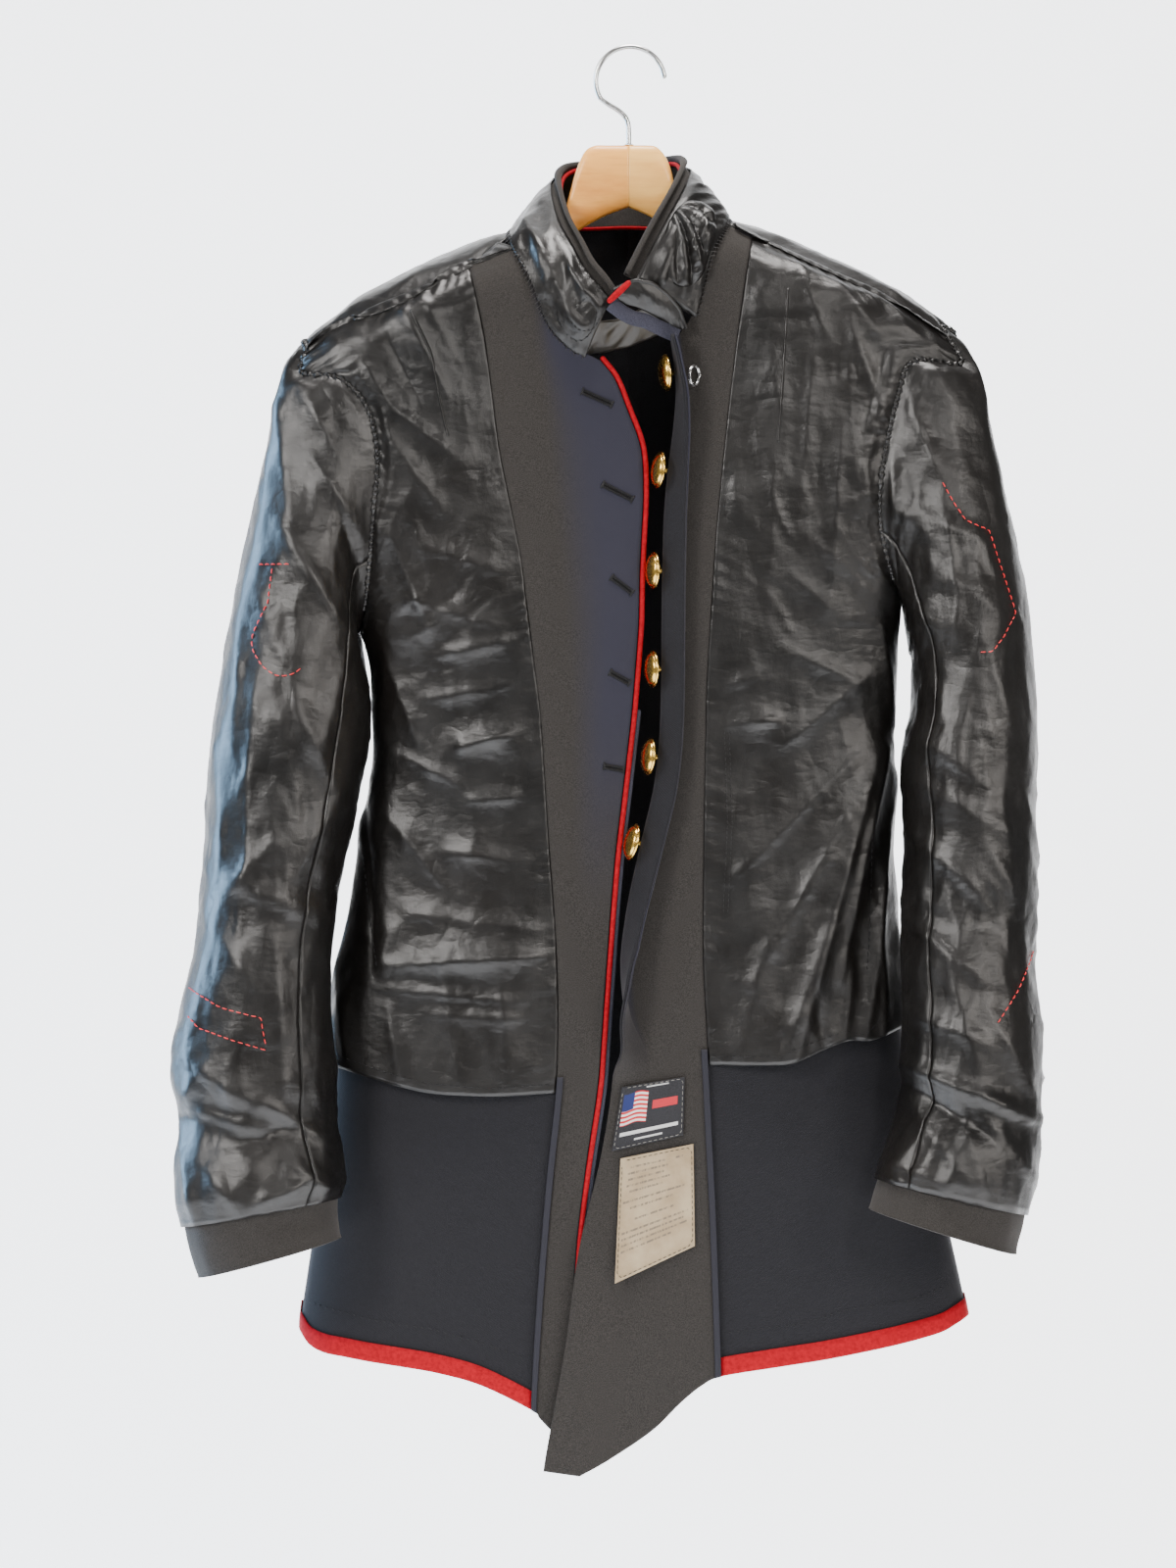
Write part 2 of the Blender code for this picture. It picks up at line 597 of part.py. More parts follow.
def make_back(side, looks):
    name = "left" if side < 0 else "right"
    points, normals = back_panel(side)
    wall(f"back_shell_{name}", parted(points), WOOL_THICK, looks["wool"])
    rows = ARMHOLE_ROWS + WAIST_ROWS + 1
    part = points[:rows]
    held = np.ones(part.shape[:2])
    held[0] = 0
    held[:, 0] = 0
    rise = fold_height(part, BACK_FOLDS) * held
    width, high = CENTRE_PLEAT
    rise += high * np.exp(-(part[..., 0] / width) ** 2) * step(-part[..., 2], 0.15, 0.2)
    rise[-3:] += HEM_SWING * np.linspace(0, 1, 4)[1:, None] * 0.8
    rise[:, 0] *= 0
    lining = moved(part, normals[:rows], LAYER_STEP + rise)
    wall(f"back_lining_{name}", parted(lining), SATIN_THICK, looks["satin"])
    tape = moved(points[-2:], normals[-2:], LAYER_STEP - 0.3 * MM)
    wall(f"hem_tape_back_{name}", parted(tape), TAPE_THICK, looks["scarlet"])
    return points, normals


def armhole_rim(front, back):
    """The armhole's points at the lining's level: down the front, then up the back."""
    ahead, behind = (moved(points[:ARMHOLE_ROWS + 1, 0], normals[:ARMHOLE_ROWS + 1, 0], LAYER_STEP)
                     for points, normals in (front, back))
    return np.concatenate([ahead, behind[-2:0:-1]])


def sleeve_surface(side, rim, shares):
    """Sleeve points on rings: an oval on each row of the table, which starts as the armhole."""
    rows = LEFT_RINGS if side < 0 else RIGHT_RINGS
    creases = LEFT_SLEEVE_CREASES if side < 0 else RIGHT_SLEEVE_CREASES
    at = np.asarray(shares) * (len(rows) - 1)
    keys = np.arange(len(rows))
    value = [np.interp(at, keys, column(rows, k)) for k in range(7)]
    scale = [v * MM for v in value[:6]]
    turn = np.arccos(1 - 2 * armhole_shares())
    angle = np.concatenate([turn, 2 * math.pi - turn[-2:0:-1]])
    rings = []
    for j in range(len(at)):
        outer = np.array([scale[0][j], scale[4][j], scale[1][j]])
        inner = np.array([scale[2][j], scale[4][j], scale[3][j]])
        middle, reach = (outer + inner) / 2, (outer - inner) / 2
        depth = np.array([0, -scale[5][j], 0])
        ring = middle + np.cos(angle)[:, None] * reach + np.sin(angle)[:, None] * depth
        rings.append(ring)
    rings = np.array(rings)
    start = np.array([rows[0][k] for k in range(6)]) * MM
    first_outer = np.array([start[0], start[4], start[1]])
    first_inner = np.array([start[2], start[4], start[3]])
    oval = ((first_outer + first_inner) / 2
            + np.cos(angle)[:, None] * (first_outer - first_inner) / 2
            + np.sin(angle)[:, None] * np.array([0, -start[5], 0]))
    away = np.array([side * ARMHOLE_GAP, 0, 0])
    rings += (rim + away - oval)[None] * value[6][:, None, None]
    centre = rings.mean(axis=1, keepdims=True)
    spoke = rings - centre
    length = np.linalg.norm(spoke, axis=-1, keepdims=True)
    change = np.zeros(rings.shape[:2])
    for z, half_width, high, facing in creases:
        level = np.exp(-((rings[..., 2] - z * MM) / (half_width * MM)) ** 2)
        around = 0.5 + 0.5 * np.cos(angle - math.radians(facing))
        change += high * MM * level * around[None]
    rings += spoke / length * change[..., None]
    return rings


def make_sleeve(side, rim, looks):
    name = "left" if side < 0 else "right"
    total = len(LEFT_RINGS) - 1
    end = LINING_END_RING / total
    shares = np.concatenate([np.linspace(0, 3, 6)[:-1] / total,
                             np.linspace(3 / total, end, SLEEVE_ROWS - 4)])
    rings = sleeve_surface(side, rim, shares)
    count = rings.shape[1]
    low = ARMHOLE_ROWS - SLEEVE_SEAM_COLUMNS
    high = ARMHOLE_ROWS + SLEEVE_SEAM_COLUMNS
    under = rings[:, low:high + 1]
    order = np.arange(high, low + count + 1) % count
    upper = rings[:, order]
    wall(f"sleeve_top_{name}", parted(upper, SEAM_GAP), SATIN_THICK, looks["satin"])
    wall(f"sleeve_under_{name}", parted(under, SEAM_GAP), SATIN_THICK, looks["satin"])
    cuff_shares = np.linspace(end - 0.5 / total, 1, CUFF_ROWS + 1)
    cuff = sleeve_surface(side, rim, cuff_shares)
    centre = cuff.mean(axis=1, keepdims=True)
    spoke = cuff - centre
    cuff -= spoke / np.linalg.norm(spoke, axis=-1, keepdims=True) * CUFF_INSET
    wall(f"cuff_{name}", cuff, WOOL_THICK, looks["facing"], closed=True)


def collar_surface(around, up):
    """Point of the collar: around from its left end to its right end, up from base to top."""
    x = column(COLLAR, 0) * MM
    z = column(COLLAR, 1) * MM
    base = coat_point(x, column(COLLAR, 2) * arc_of(ridge(x) - z))
    top = np.stack([column(COLLAR, k) * MM for k in (3, 4, 5)], axis=-1)
    middle = (base + top) / 2
    outward = middle - middle.mean(axis=0)
    outward[:, 2] = 0
    outward /= np.linalg.norm(outward, axis=-1, keepdims=True)
    keys = np.linspace(0, 1, len(COLLAR))
    around = np.asarray(around, float)
    low, high, out = (np.stack([np.interp(around, keys, data[:, k]) for k in range(3)], -1)
                      for data in (base, top, outward))
    up = np.asarray(up, float)[..., None]
    rise = high - low
    lift = COLLAR_GAP * rise / np.linalg.norm(rise, axis=-1, keepdims=True)
    return low + lift + (rise - lift) * up + out * COLLAR_BULGE * np.sin(math.pi * up)


def collar_grid(around, up):
    points = np.array([collar_surface(around, np.full(len(around), v)) for v in up])
    return points, normals_of(points, (0, 0, -0.15))


def make_collar(looks):
    around = np.linspace(0, 1, len(COLLAR))
    up = (0.0, 0.28, 0.56, 0.86, 1.0)
    points, normals = collar_grid(around, up)
    wall("collar_stand", points, WOOL_THICK, looks["facing"])
    outer = moved(points[:-1], normals[:-1], LAYER_STEP)
    wall("collar_lining", outer, SATIN_THICK, looks["satin"])
    inner = moved(points[-2:, 3:-3], normals[-2:, 3:-3], -LAYER_STEP + 0.3 * MM)
    wall("collar_piping", parted(inner), TAPE_THICK, looks["scarlet"])
    make_collar_flap(looks)
    make_collar_bunch(looks)
    make_collar_tab(points, normals, looks)


def disc_grid(count):
    """Square grid drawn into a disc, both running from -1 to 1."""
    u, v = np.meshgrid(np.linspace(-1, 1, count), np.linspace(-1, 1, count))
    return u * np.sqrt(1 - v * v / 2), v * np.sqrt(1 - u * u / 2)


def make_collar_flap(looks):
    u, v = disc_grid(6)
    around = 0.068 + 0.056 * u
    up = 0.40 + 0.30 * v
    points = collar_surface(around, up)
    normals = normals_of(points, (0, 0.05, -0.15))
    wall("collar_end_flap", moved(points, normals, TRIM_STEP + 0.5 * MM), SATIN_THICK, looks["satin"])


def make_collar_bunch(looks):
    u, v = disc_grid(8)
    around = 0.912 + 0.068 * u
    up = 0.42 + 0.40 * v
    points = collar_surface(around, up)
    normals = normals_of(points, (0, 0.05, -0.15))
    wave = 1 + 0.6 * np.sin(5.2 * u + 2.0 * v) + 0.4 * np.sin(4.1 * v - 2.6 * u)
    edge = np.clip(1 - (u * u + v * v), 0, 1)
    height = TRIM_STEP + 0.6 * MM + 6 * MM * wave * edge ** 0.6
    wall("collar_bunched_end", moved(points, normals, height), SATIN_THICK, looks["satin"])


def make_collar_tab(points, normals, looks):
    """Dark tab that bridges the collar's ends behind them."""
    left = moved(points[:3, 0], normals[:3, 0], -LAYER_STEP)
    right = moved(points[:3, -1], normals[:3, -1], -LAYER_STEP)
    inward = moved(points[:3, 1], normals[:3, 1], -LAYER_STEP)
    grid = [inward + (left - inward) * 0.5, left]
    for share in (0.25, 0.5, 0.75, 1.0):
        sag = np.array([0, 5 * MM, -4 * MM]) * math.sin(math.pi * share)
        grid.append(left + (right - left) * share * 0.9 + sag)
    wall("collar_under_tab", np.stack(grid, axis=1), SATIN_THICK, looks["satin"])


def wire(name, path, radius, look, sides=2):
    """Round cord along a path of points, with closed ends."""
    curve = bpy.data.curves.new(name, "CURVE")
    curve.dimensions = "3D"
    curve.bevel_depth = radius
    curve.bevel_resolution = sides
    curve.use_fill_caps = True
    spline = curve.splines.new("POLY")
    spline.points.add(len(path) - 1)
    for point, place_at in zip(spline.points, path):
        point.co = (*place_at, 1.0)
    return place(name, curve, look)


def make_piping(points, normals, looks):
    edge = moved(points[:, -1], normals[:, -1], LAYER_STEP / 2)
    run = np.gradient(edge, axis=0)
    run /= np.linalg.norm(run, axis=-1, keepdims=True)
    across = np.cross(run, normals[:, -1])
    across *= np.sign(across[:, :1])
    across /= np.linalg.norm(across, axis=-1, keepdims=True)
    path = edge + across * (PIPING_RADIUS + 2 * SEAM_GAP)
    wire("front_piping", path, PIPING_RADIUS, looks["scarlet"], sides=1)


def button_mesh():
    """Turned profile of a domed button on its shank, the shank's foot at the origin."""
    radius = BUTTON_RADIUS
    profile = ((0, 10.6), (0.45 * radius / MM, 9.9), (0.8 * radius / MM, 7.9),
               (radius / MM, 5.2), (0.96 * radius / MM, 4.2), (SHANK_RADIUS / MM, 4.0),
               (SHANK_RADIUS / MM, 0), (0, 0))
    mesh = bpy.data.meshes.new("button_profile")
    mesh.from_pydata([(r * MM, 0, z * MM) for r, z in profile], [(k, k + 1) for k in range(7)], [])
    return mesh


def make_buttons(points, normals, looks):
    edge = LINING_COLUMNS + FACING_COLUMNS
    fold, before = points[:, edge], points[:, edge - 1]
    outward = normals[:, edge]
    across = fold_direction(fold, fold - before, outward)
    order = np.argsort(fold[:, 2])
    for number, height in enumerate(BUTTON_HEIGHTS, 1):
        z = height * MM
        spot, out, sideways = (
            np.array([np.interp(z, fold[order, 2], data[order, k]) for k in range(3)])
            for data in (fold, outward, across))
        out /= np.linalg.norm(out)
        sideways /= np.linalg.norm(sideways)
        turned = min(float(curl_angle(z)), math.radians(BUTTON_ANGLE))
        foot = band_point(spot, sideways, out, turned, 0.4 * MM)
        axis = sideways * math.sin(turned) - out * math.cos(turned)
        foot = foot + axis * (WOOL_THICK / 2 + 2 * SEAM_GAP)
        obj = place(f"button_{number}", button_mesh(), looks["gold"])
        turned_up = np.array([0.0, 0.0, 1.0])
        level = np.cross(turned_up, axis)
        level /= np.linalg.norm(level)
        upright = np.cross(axis, level)
        frame = np.eye(4)
        frame[:3, 0], frame[:3, 1], frame[:3, 2], frame[:3, 3] = level, upright, axis, foot
        obj.matrix_world = Matrix(frame.tolist())
        screw = obj.modifiers.new("Turned", "SCREW")
        screw.steps = 12
        screw.render_steps = 12
        screw.use_merge_vertices = True
        screw.merge_threshold = 0.00005
        screw.use_smooth_shade = True


def panel_spot(points, normals, x, z, distance):
    """Point over a panel at the given x and z: nearest cell, read bilinearly by two steps."""
    out = []
    for at_x, at_z in zip(np.ravel(x), np.ravel(z)):
        rows = []
        for row in range(points.shape[0]):
            order = np.argsort(points[row, :, 0])
            pick = [np.interp(at_x, points[row, order, 0], grid[row, order, k])
                    for grid in (points, normals) for k in range(3)]
            rows.append(pick)
        rows = np.array(rows)
        order = np.argsort(rows[:, 2])
        out.append([np.interp(at_z, rows[order, 2], rows[order, k]) for k in range(6)])
    out = np.array(out).reshape(*np.shape(x), 6)
    return out[..., :3] + out[..., 3:] * distance


def make_label(name, corners, points, normals, look, curl):
    top_left, top_right, low_right, low_left = (np.array(c, float) * MM for c in corners)
    u, v = np.meshgrid(np.linspace(0, 1, 5), np.linspace(0, 1, 4))
    u, v = u[..., None], v[..., None]
    flat = (top_left * (1 - u) + top_right * u) * (1 - v) + (low_left * (1 - u) + low_right * u) * v
    rise = curl * (1 - u[..., 0]) ** 2 * v[..., 0] ** 2
    seam = LINING_COLUMNS
    edge = LINING_COLUMNS + FACING_COLUMNS + CURL_COLUMNS + 2
    spots = panel_spot(points[:, seam:edge], normals[:, seam:edge], flat[..., 0], flat[..., 1], TRIM_STEP)
    spots[..., 1] -= LABEL_CLEAR + rise
    wall(name, spots, TAPE_THICK, look)


def make_ring(points, normals, looks):
    x, z = (np.array([[v * MM]]) for v in RING_PLACE)
    seam = LINING_COLUMNS
    edge = LINING_COLUMNS + FACING_COLUMNS + 1
    spot = panel_spot(points[:, seam:edge], normals[:, seam:edge], x, z, LAYER_STEP)[0, 0]
    bpy.ops.mesh.primitive_torus_add(major_segments=16, minor_segments=6,
                                     major_radius=RING_RADIUS, minor_radius=RING_WIRE)
    obj = bpy.context.object
    obj.name = "split_ring"
    obj.data.shade_smooth()
    obj.data.materials.append(looks["steel"])
    tilt = math.radians(62)
    obj.rotation_euler = (math.pi / 2, 0, tilt)
    reach = RING_RADIUS * math.sin(tilt) + RING_WIRE + WOOL_THICK / 2 + SEAM_GAP
    obj.location = (spot[0] + 2 * MM, spot[1] - reach, spot[2])
    for linked in list(obj.users_collection):
        linked.objects.unlink(obj)
    collection.objects.link(obj)


def wood_sections(side):
    """Sections of one hanger half: x, top, bottom and half thickness, out to the arm's tip."""
    rows = np.array(LEFT_WOOD if side < 0 else RIGHT_WOOD, float) * MM
    start = 80 * MM if side < 0 else 67 * MM
    x = np.linspace(start, ARM_TIP, 8)
    share = (x - start) / (ARM_TIP - start)
    top = ridge(side * x) - WOOL_THICK / 2 - ARM_CLEAR - NECK_CLEAR * (1 - share) ** 5
    height = ARM_HEIGHT * (1 - 0.25 * share)
    thick = ARM_THICK[0] + (ARM_THICK[1] - ARM_THICK[0]) * share
    arm = np.stack([x, top, top - height, thick], axis=-1)
    tip = arm[-1] + np.array([5 * MM, -5.5 * MM, 4 * MM, -5 * MM])
    return np.concatenate([rows, arm, tip[None]])


def make_wood(side, looks):
    name = "hanger_left" if side < 0 else "hanger_right"
    rows = wood_sections(side)
    turns = np.linspace(0, 2 * math.pi, 12, endpoint=False)
    rings = []
    for x, top, low, thick in rows:
        power = 2 / (3.2 if x < 50 * MM else 2.1)
        bend = HANGER_BEND * (x / HALF_SHOULDER) ** 2
        y = thick * np.sign(np.cos(turns)) * np.abs(np.cos(turns)) ** power - bend
        z = (top + low) / 2 + (top - low) / 2 * np.sign(np.sin(turns)) * np.abs(np.sin(turns)) ** power
        z += top - z.max()
        rings.append(np.stack([np.full_like(y, side * x), y, z], axis=-1))
    rings = np.array(rings)
    count = rings.shape[1]
    index = np.arange(rings.shape[0] * count).reshape(-1, count)
    loop = np.concatenate([index, index[:, :1]], axis=1)
    quads = np.stack([loop[:-1, :-1], loop[1:, :-1], loop[1:, 1:], loop[:-1, 1:]], -1).reshape(-1, 4)
    faces = quads.tolist() + [index[0].tolist(), index[-1][::-1].tolist()]
    if side > 0:
        faces = [face[::-1] for face in faces]
    mesh = bpy.data.meshes.new(name)
    mesh.from_pydata(rings.reshape(-1, 3).tolist(), [], faces)
    mesh.shade_smooth()
    place(name, mesh, looks["wood"])


def make_hook(looks):
    """Hook wire: three quarters of a circle, then an S bend into the straight stem."""
    centre = np.array(HOOK_CENTRE)
    angles = np.radians(np.linspace(8, 212, 22))
    circle = centre + HOOK_RADIUS * np.stack([np.cos(angles), np.sin(angles)], axis=-1)
    bend = np.array([(-14, -38.5), (-7, -42.8), (-2.2, -47.5), (-0.3, -53), (0, -60), (0, -66.6)]) * MM
    flat = np.concatenate([circle, bend])
    path = np.stack([flat[:, 0], np.zeros(len(flat)), flat[:, 1]], axis=-1)
    wire("hook", path, HOOK_WIRE, looks["steel"], sides=2)


def make_coat(looks):
    left, left_normals = make_front(-1, looks)
    right, right_normals = make_front(1, looks)
    back_left = make_back(-1, looks)
    back_right = make_back(1, looks)
    make_sleeve(-1, armhole_rim((left, left_normals), back_left), looks)
    make_sleeve(1, armhole_rim((right, right_normals), back_right), looks)
    make_collar(looks)
    make_piping(left, left_normals, looks)
    make_buttons(right, right_normals, looks)
    make_ring(right, right_normals, looks)
    make_label("woven_label", WOVEN_LABEL, right, right_normals, looks["label_dark"], 0)
    make_label("care_label", CARE_LABEL, right, right_normals, looks["label_tan"], 6 * MM)


def make_hanger(looks):
    make_wood(-1, looks)
    make_wood(1, looks)
    make_hook(looks)


def make_looks():
    return {
        "wool": material("Navy_wool", (0.012, 0.014, 0.022), 0.9),
        "facing": material("Facing_wool", (0.020, 0.019, 0.019), 0.9),
        "satin": material("Lining_satin", (0.022, 0.020, 0.019), 0.42),
        "scarlet": material("Scarlet_cloth", (0.72, 0.006, 0.012), 0.8),
        "seam_tape": material("Seam_tape", (0.05, 0.05, 0.07), 0.8),
        "gold": material("Gilt_metal", (0.80, 0.52, 0.16), 0.25, 1.0),
        "steel": material("Bright_steel", (0.62, 0.62, 0.62), 0.25, 1.0),
        "wood": material("Pale_wood", (0.72, 0.42, 0.17), 0.5),
        "label_dark": material("Woven_label", (0.01, 0.01, 0.012), 0.8),
        "label_tan": material("Care_label", (0.45, 0.34, 0.20), 0.85),
    }


clear_scene()
collection = make_collection()
all_looks = make_looks()
make_coat(all_looks)
make_hanger(all_looks)
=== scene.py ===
import math

import bpy
import numpy as np
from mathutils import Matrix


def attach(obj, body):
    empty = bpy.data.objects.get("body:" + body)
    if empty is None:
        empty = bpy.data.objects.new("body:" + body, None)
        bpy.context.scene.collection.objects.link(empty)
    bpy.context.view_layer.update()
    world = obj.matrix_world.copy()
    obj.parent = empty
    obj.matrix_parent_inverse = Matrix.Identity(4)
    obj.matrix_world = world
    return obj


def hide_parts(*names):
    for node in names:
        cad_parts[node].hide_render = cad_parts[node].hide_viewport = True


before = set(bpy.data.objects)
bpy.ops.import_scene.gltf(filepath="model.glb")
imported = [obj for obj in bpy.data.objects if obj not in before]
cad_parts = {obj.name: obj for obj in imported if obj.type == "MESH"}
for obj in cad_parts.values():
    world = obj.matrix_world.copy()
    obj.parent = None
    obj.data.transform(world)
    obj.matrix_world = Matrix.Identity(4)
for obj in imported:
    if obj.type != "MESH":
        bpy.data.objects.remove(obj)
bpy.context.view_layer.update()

MM = 0.001
SIDE_NAMES = {-1: "left", 1: "right"}

# Cloth
WOOL_THICK = 1.4 * MM
SATIN_THICK = 0.8 * MM
TAPE_THICK = 0.9 * MM
SEAM_GAP = 0.3 * MM
LAYER_STEP = 1.9 * MM
TRIM_STEP = 3.5 * MM
SHOULDER_GAP = 0.2 * MM
CUFF_INSET = 2.5 * MM
LINING_EASE = 1.9 * MM
THREAD = 0.3 * MM

# Shape of the hanging coat
SHOULDER_ROUND = 40 * MM
SECTION_POWER = 2.6
HANGER_BEND = 22 * MM
HALF_SHOULDER = 230 * MM
CENTRE_BACK = 0.0
OVERLAP_LIFT = 7 * MM
HEM_SWING = 6 * MM
COLLAR_BULGE = 3 * MM
COLLAR_ROLL = 2.1 * MM

# Front band beyond the button line, which curls towards the viewer
BAND_WIDTH = 25 * MM
BAND_ROLL = 4.5 * MM
ROLL_FLAT = 0.4 * MM
BUTTON_ANGLE = 105.0

# Buttons, ring and trim
BUTTON_RADIUS = 12.8 * MM
RING_RADIUS = 7.0 * MM
RING_WIRE = 0.75 * MM
PIPING_RADIUS = 1.8 * MM
HEM_TAPE_WIDTH = 13 * MM
SEAM_TAPE_WIDTH = 4.2 * MM
LABEL_CLEAR = 0.6 * MM

# Hanger
HOOK_WIRE = 1.75 * MM
HOOK_CENTRE = (1 * MM, -22.2 * MM)
HOOK_RADIUS = 23.9 * MM
ARM_TIP = 196 * MM
HOOK_FOOT = -67.2 * MM

# Studio paper and camera in metres, with the sensor in millimetres
PAPER_FRONT, PAPER_BACK, PAPER_TOP = -1.5, 1.1, 6.0
PAPER_FLOOR, PAPER_BEND, PAPER_HALF = -1.30, 1.6, 1.8
SENSOR, PHOTO_REACH, PHOTO_HEIGHT = 24, 4.6, 1.0784
PHOTO_PLACE = (-0.0283, -4.65, -0.5109)

# Coarse grid: armhole rows, rows to the lining hem, skirt rows, columns of each strip
ARMHOLE_ROWS = 8
WAIST_ROWS = 10
SKIRT_ROWS = 4
LINING_COLUMNS = 9
FACING_COLUMNS = 5
BACK_COLUMNS = 7
BACK_ROW_SHARES = (0.0, 0.06, 0.19, 0.39, 0.62, 0.84, 1.0)
CREST_STEP = 14 * MM
SLEEVE_ROWS = 22
CUFF_ROWS = 3

# Finer grid: how many rows and how many steps in each, from the shoulder to the hem
FRONT_ROWS = ((8, 10), (10, 14), (4, 14), (1, 6))
FRONT_COLUMNS = ((9, 9), (5, 9))
BACK_ROWS = ((8, 8), (10, 10), (4, 9), (1, 4))
BACK_FINE_COLUMNS = ((7, 8),)
ROLL_COLUMNS = 14
STRAIGHT_COLUMNS = 10
SLEEVE_STEPS = 7
LABEL_POINTS = 41
UNDERARM_ROW, LINING_ROW, TAPE_ROW = 80, 220, 276
BACK_UNDERARM_ROW, BACK_LINING_ROW = 64, 164
SEAM_COLUMN, EDGE_COLUMN = 81, 126


# Shoulder ridge seen from the front: x, z
RIDGE = (
    (-243, -238), (-239, -224), (-229, -213), (-212, -196), (-186, -178), (-152, -159), (-117, -143),
    (-80, -129), (-60, -106), (0, -90), (50, -101), (66, -120), (105, -135), (150, -155), (187, -174),
    (216, -196), (230, -204), (243, -230))

# Level sections of the body: z, left side x, right side x, front depth, back depth
SECTIONS = (
    (-100, -250, 246, 52, 50), (-212, -243, 238, 54, 54), (-300, -222, 220, 58, 58),
    (-385, -190, 187, 60, 62), (-403, -184, 183, 60, 62), (-430, -174, 181, 59, 61),
    (-497, -173, 177, 57, 60), (-545, -182, 179, 56, 59), (-612, -192, 182, 55, 58),
    (-646, -196, 184, 55, 58), (-733, -206, 197, 54, 59), (-800, -215, 217, 54, 61),
    (-880, -227, 235, 55, 63), (-1000, -232, 240, 55, 63))

# Front edge and seams of each side: z, x
LEFT_EDGE = (
    (-220, -20), (-226, -11), (-249, -2), (-280, 9), (-311, 10), (-362, 7), (-403, 6), (-456, 2),
    (-518, -5), (-570, -11), (-638, -16), (-711, -21), (-761, -27), (-800, -35), (-850, -38),
    (-968, -40))
RIGHT_EDGE = (
    (-204, 22), (-231, 32), (-268, 37), (-342, 38), (-472, 37), (-515, 32), (-570, 18), (-623, 4),
    (-673, -7), (-711, -10), (-750, -13), (-776, -22), (-808, -33), (-851, -36), (-884, -40),
    (-922, -49), (-959, -55), (-998, -61))
LEFT_SEAM = (
    (-154, -110), (-189, -101), (-225, -96), (-287, -88), (-349, -75), (-402, -68), (-468, -60),
    (-548, -55), (-614, -50), (-673, -48), (-723, -50), (-787, -57), (-862, -63), (-931, -67))
RIGHT_SEAM = (
    (-130, 84), (-164, 79), (-210, 73), (-270, 66), (-343, 59), (-437, 53), (-532, 51), (-626, 50),
    (-704, 54), (-801, 59), (-882, 62), (-917, 63))

# Armhole seam of each side, front view: z, x
LEFT_ARMHOLE = (
    (-208, -221), (-220, -206), (-234, -186), (-257, -175), (-278, -171), (-304, -173), (-338, -176),
    (-371, -179), (-403, -184))
RIGHT_ARMHOLE = (
    (-201, 219), (-203, 204), (-209, 188), (-235, 178), (-274, 173), (-300, 170), (-321, 171),
    (-343, 173), (-385, 187))
BACK_ARMHOLE_SHARE = 0.8

# Curl of the right front band: z, degrees
CURL = (
    (-204, 96), (-231, 104), (-268, 124), (-310, 147), (-342, 160), (-472, 165), (-515, 160),
    (-570, 150), (-623, 125), (-650, 100), (-673, 72), (-695, 38), (-715, 4), (-725, 0))

# Hems: x, z
LEFT_LINING_HEM = (
    (-215, -700), (-205, -704), (-177, -713), (-144, -723), (-96, -726), (-47, -723), (-20, -721))
RIGHT_LINING_HEM = ((-20, -704), (53, -704), (108, -704), (149, -687), (163, -689), (190, -676))
LEFT_HEM = (
    (-230, -882), (-219, -902), (-178, -909), (-135, -915), (-92, -927), (-69, -938), (-55, -954),
    (-38, -968))
RIGHT_HEM = (
    (-61, -998), (-28, -983), (11, -959), (45, -926), (64, -917), (100, -912), (140, -906), (181, -898),
    (215, -890), (240, -876))
BACK_HEM = ((-230, -882), (-150, -896), (-60, -902), (0, -903), (60, -902), (150, -894), (240, -876))
BACK_LINING_HEM = ((-230, -700), (-120, -712), (0, -716), (110, -708), (230, -676))

# Shoulder seam and neck, from the armhole in: x, z, face (1 front, -1 back)
LEFT_SHOULDER = (
    (-221, -212, 1), (-195, -194, 1), (-173, -187, 1), (-152, -178, 1), (-110, -154, 1), (-79, -142, 1))
RIGHT_SHOULDER = (
    (219, -204, 1), (187, -183, 1), (150, -165, 1), (105, -144, 1), (84, -133, 1), (65, -127, 1))
LEFT_NECK = ((-78, -143, 1), (-67, -163, 1), (-54, -193, 1), (-40, -209, 1), (-20, -220, 1))
RIGHT_NECK = ((64, -128, 1), (57, -142, 1), (50, -164, 1), (43, -189, 1), (33, -203, 1))
LEFT_BACK_NECK = (
    (-79, -142, 1), (-79, -130, 1), (-74, -125, -1), (-68, -123, -1), (-55, -121, -1), (-30, -120, -1),
    (0, -119, -1))
RIGHT_BACK_NECK = (
    (65, -127, 1), (66, -121, -1), (61, -120, -1), (50, -120, -1), (28, -120, -1), (0, -119, -1))

# Collar: base x, base z, face, then its top edge x, y, z
COLLAR = (
    (-29, -215, 1, -10, -68, -174), (-40, -209, 1, -16, -67, -165), (-54, -193, 1, -25, -62, -154),
    (-67, -163, 1, -33, -52, -140), (-78, -143, 1, -42, -34, -123), (-80, -132, 1, -47, -10, -104),
    (-76, -125, -1, -48, 12, -89), (-66, -122, -1, -43, 32, -81), (-48, -120, -1, -32, 45, -77),
    (-25, -119, -1, -16, 51, -75), (0, -118, -1, 1, 53, -74), (25, -119, -1, 17, 49, -74),
    (45, -120, -1, 29, 39, -74), (58, -120, -1, 35, 22, -76), (66, -121, 1, 37, -4, -83),
    (64, -128, 1, 33, -26, -95), (57, -142, 1, 26, -44, -110), (50, -164, 1, 13, -60, -133),
    (43, -189, 1, -2, -71, -163))

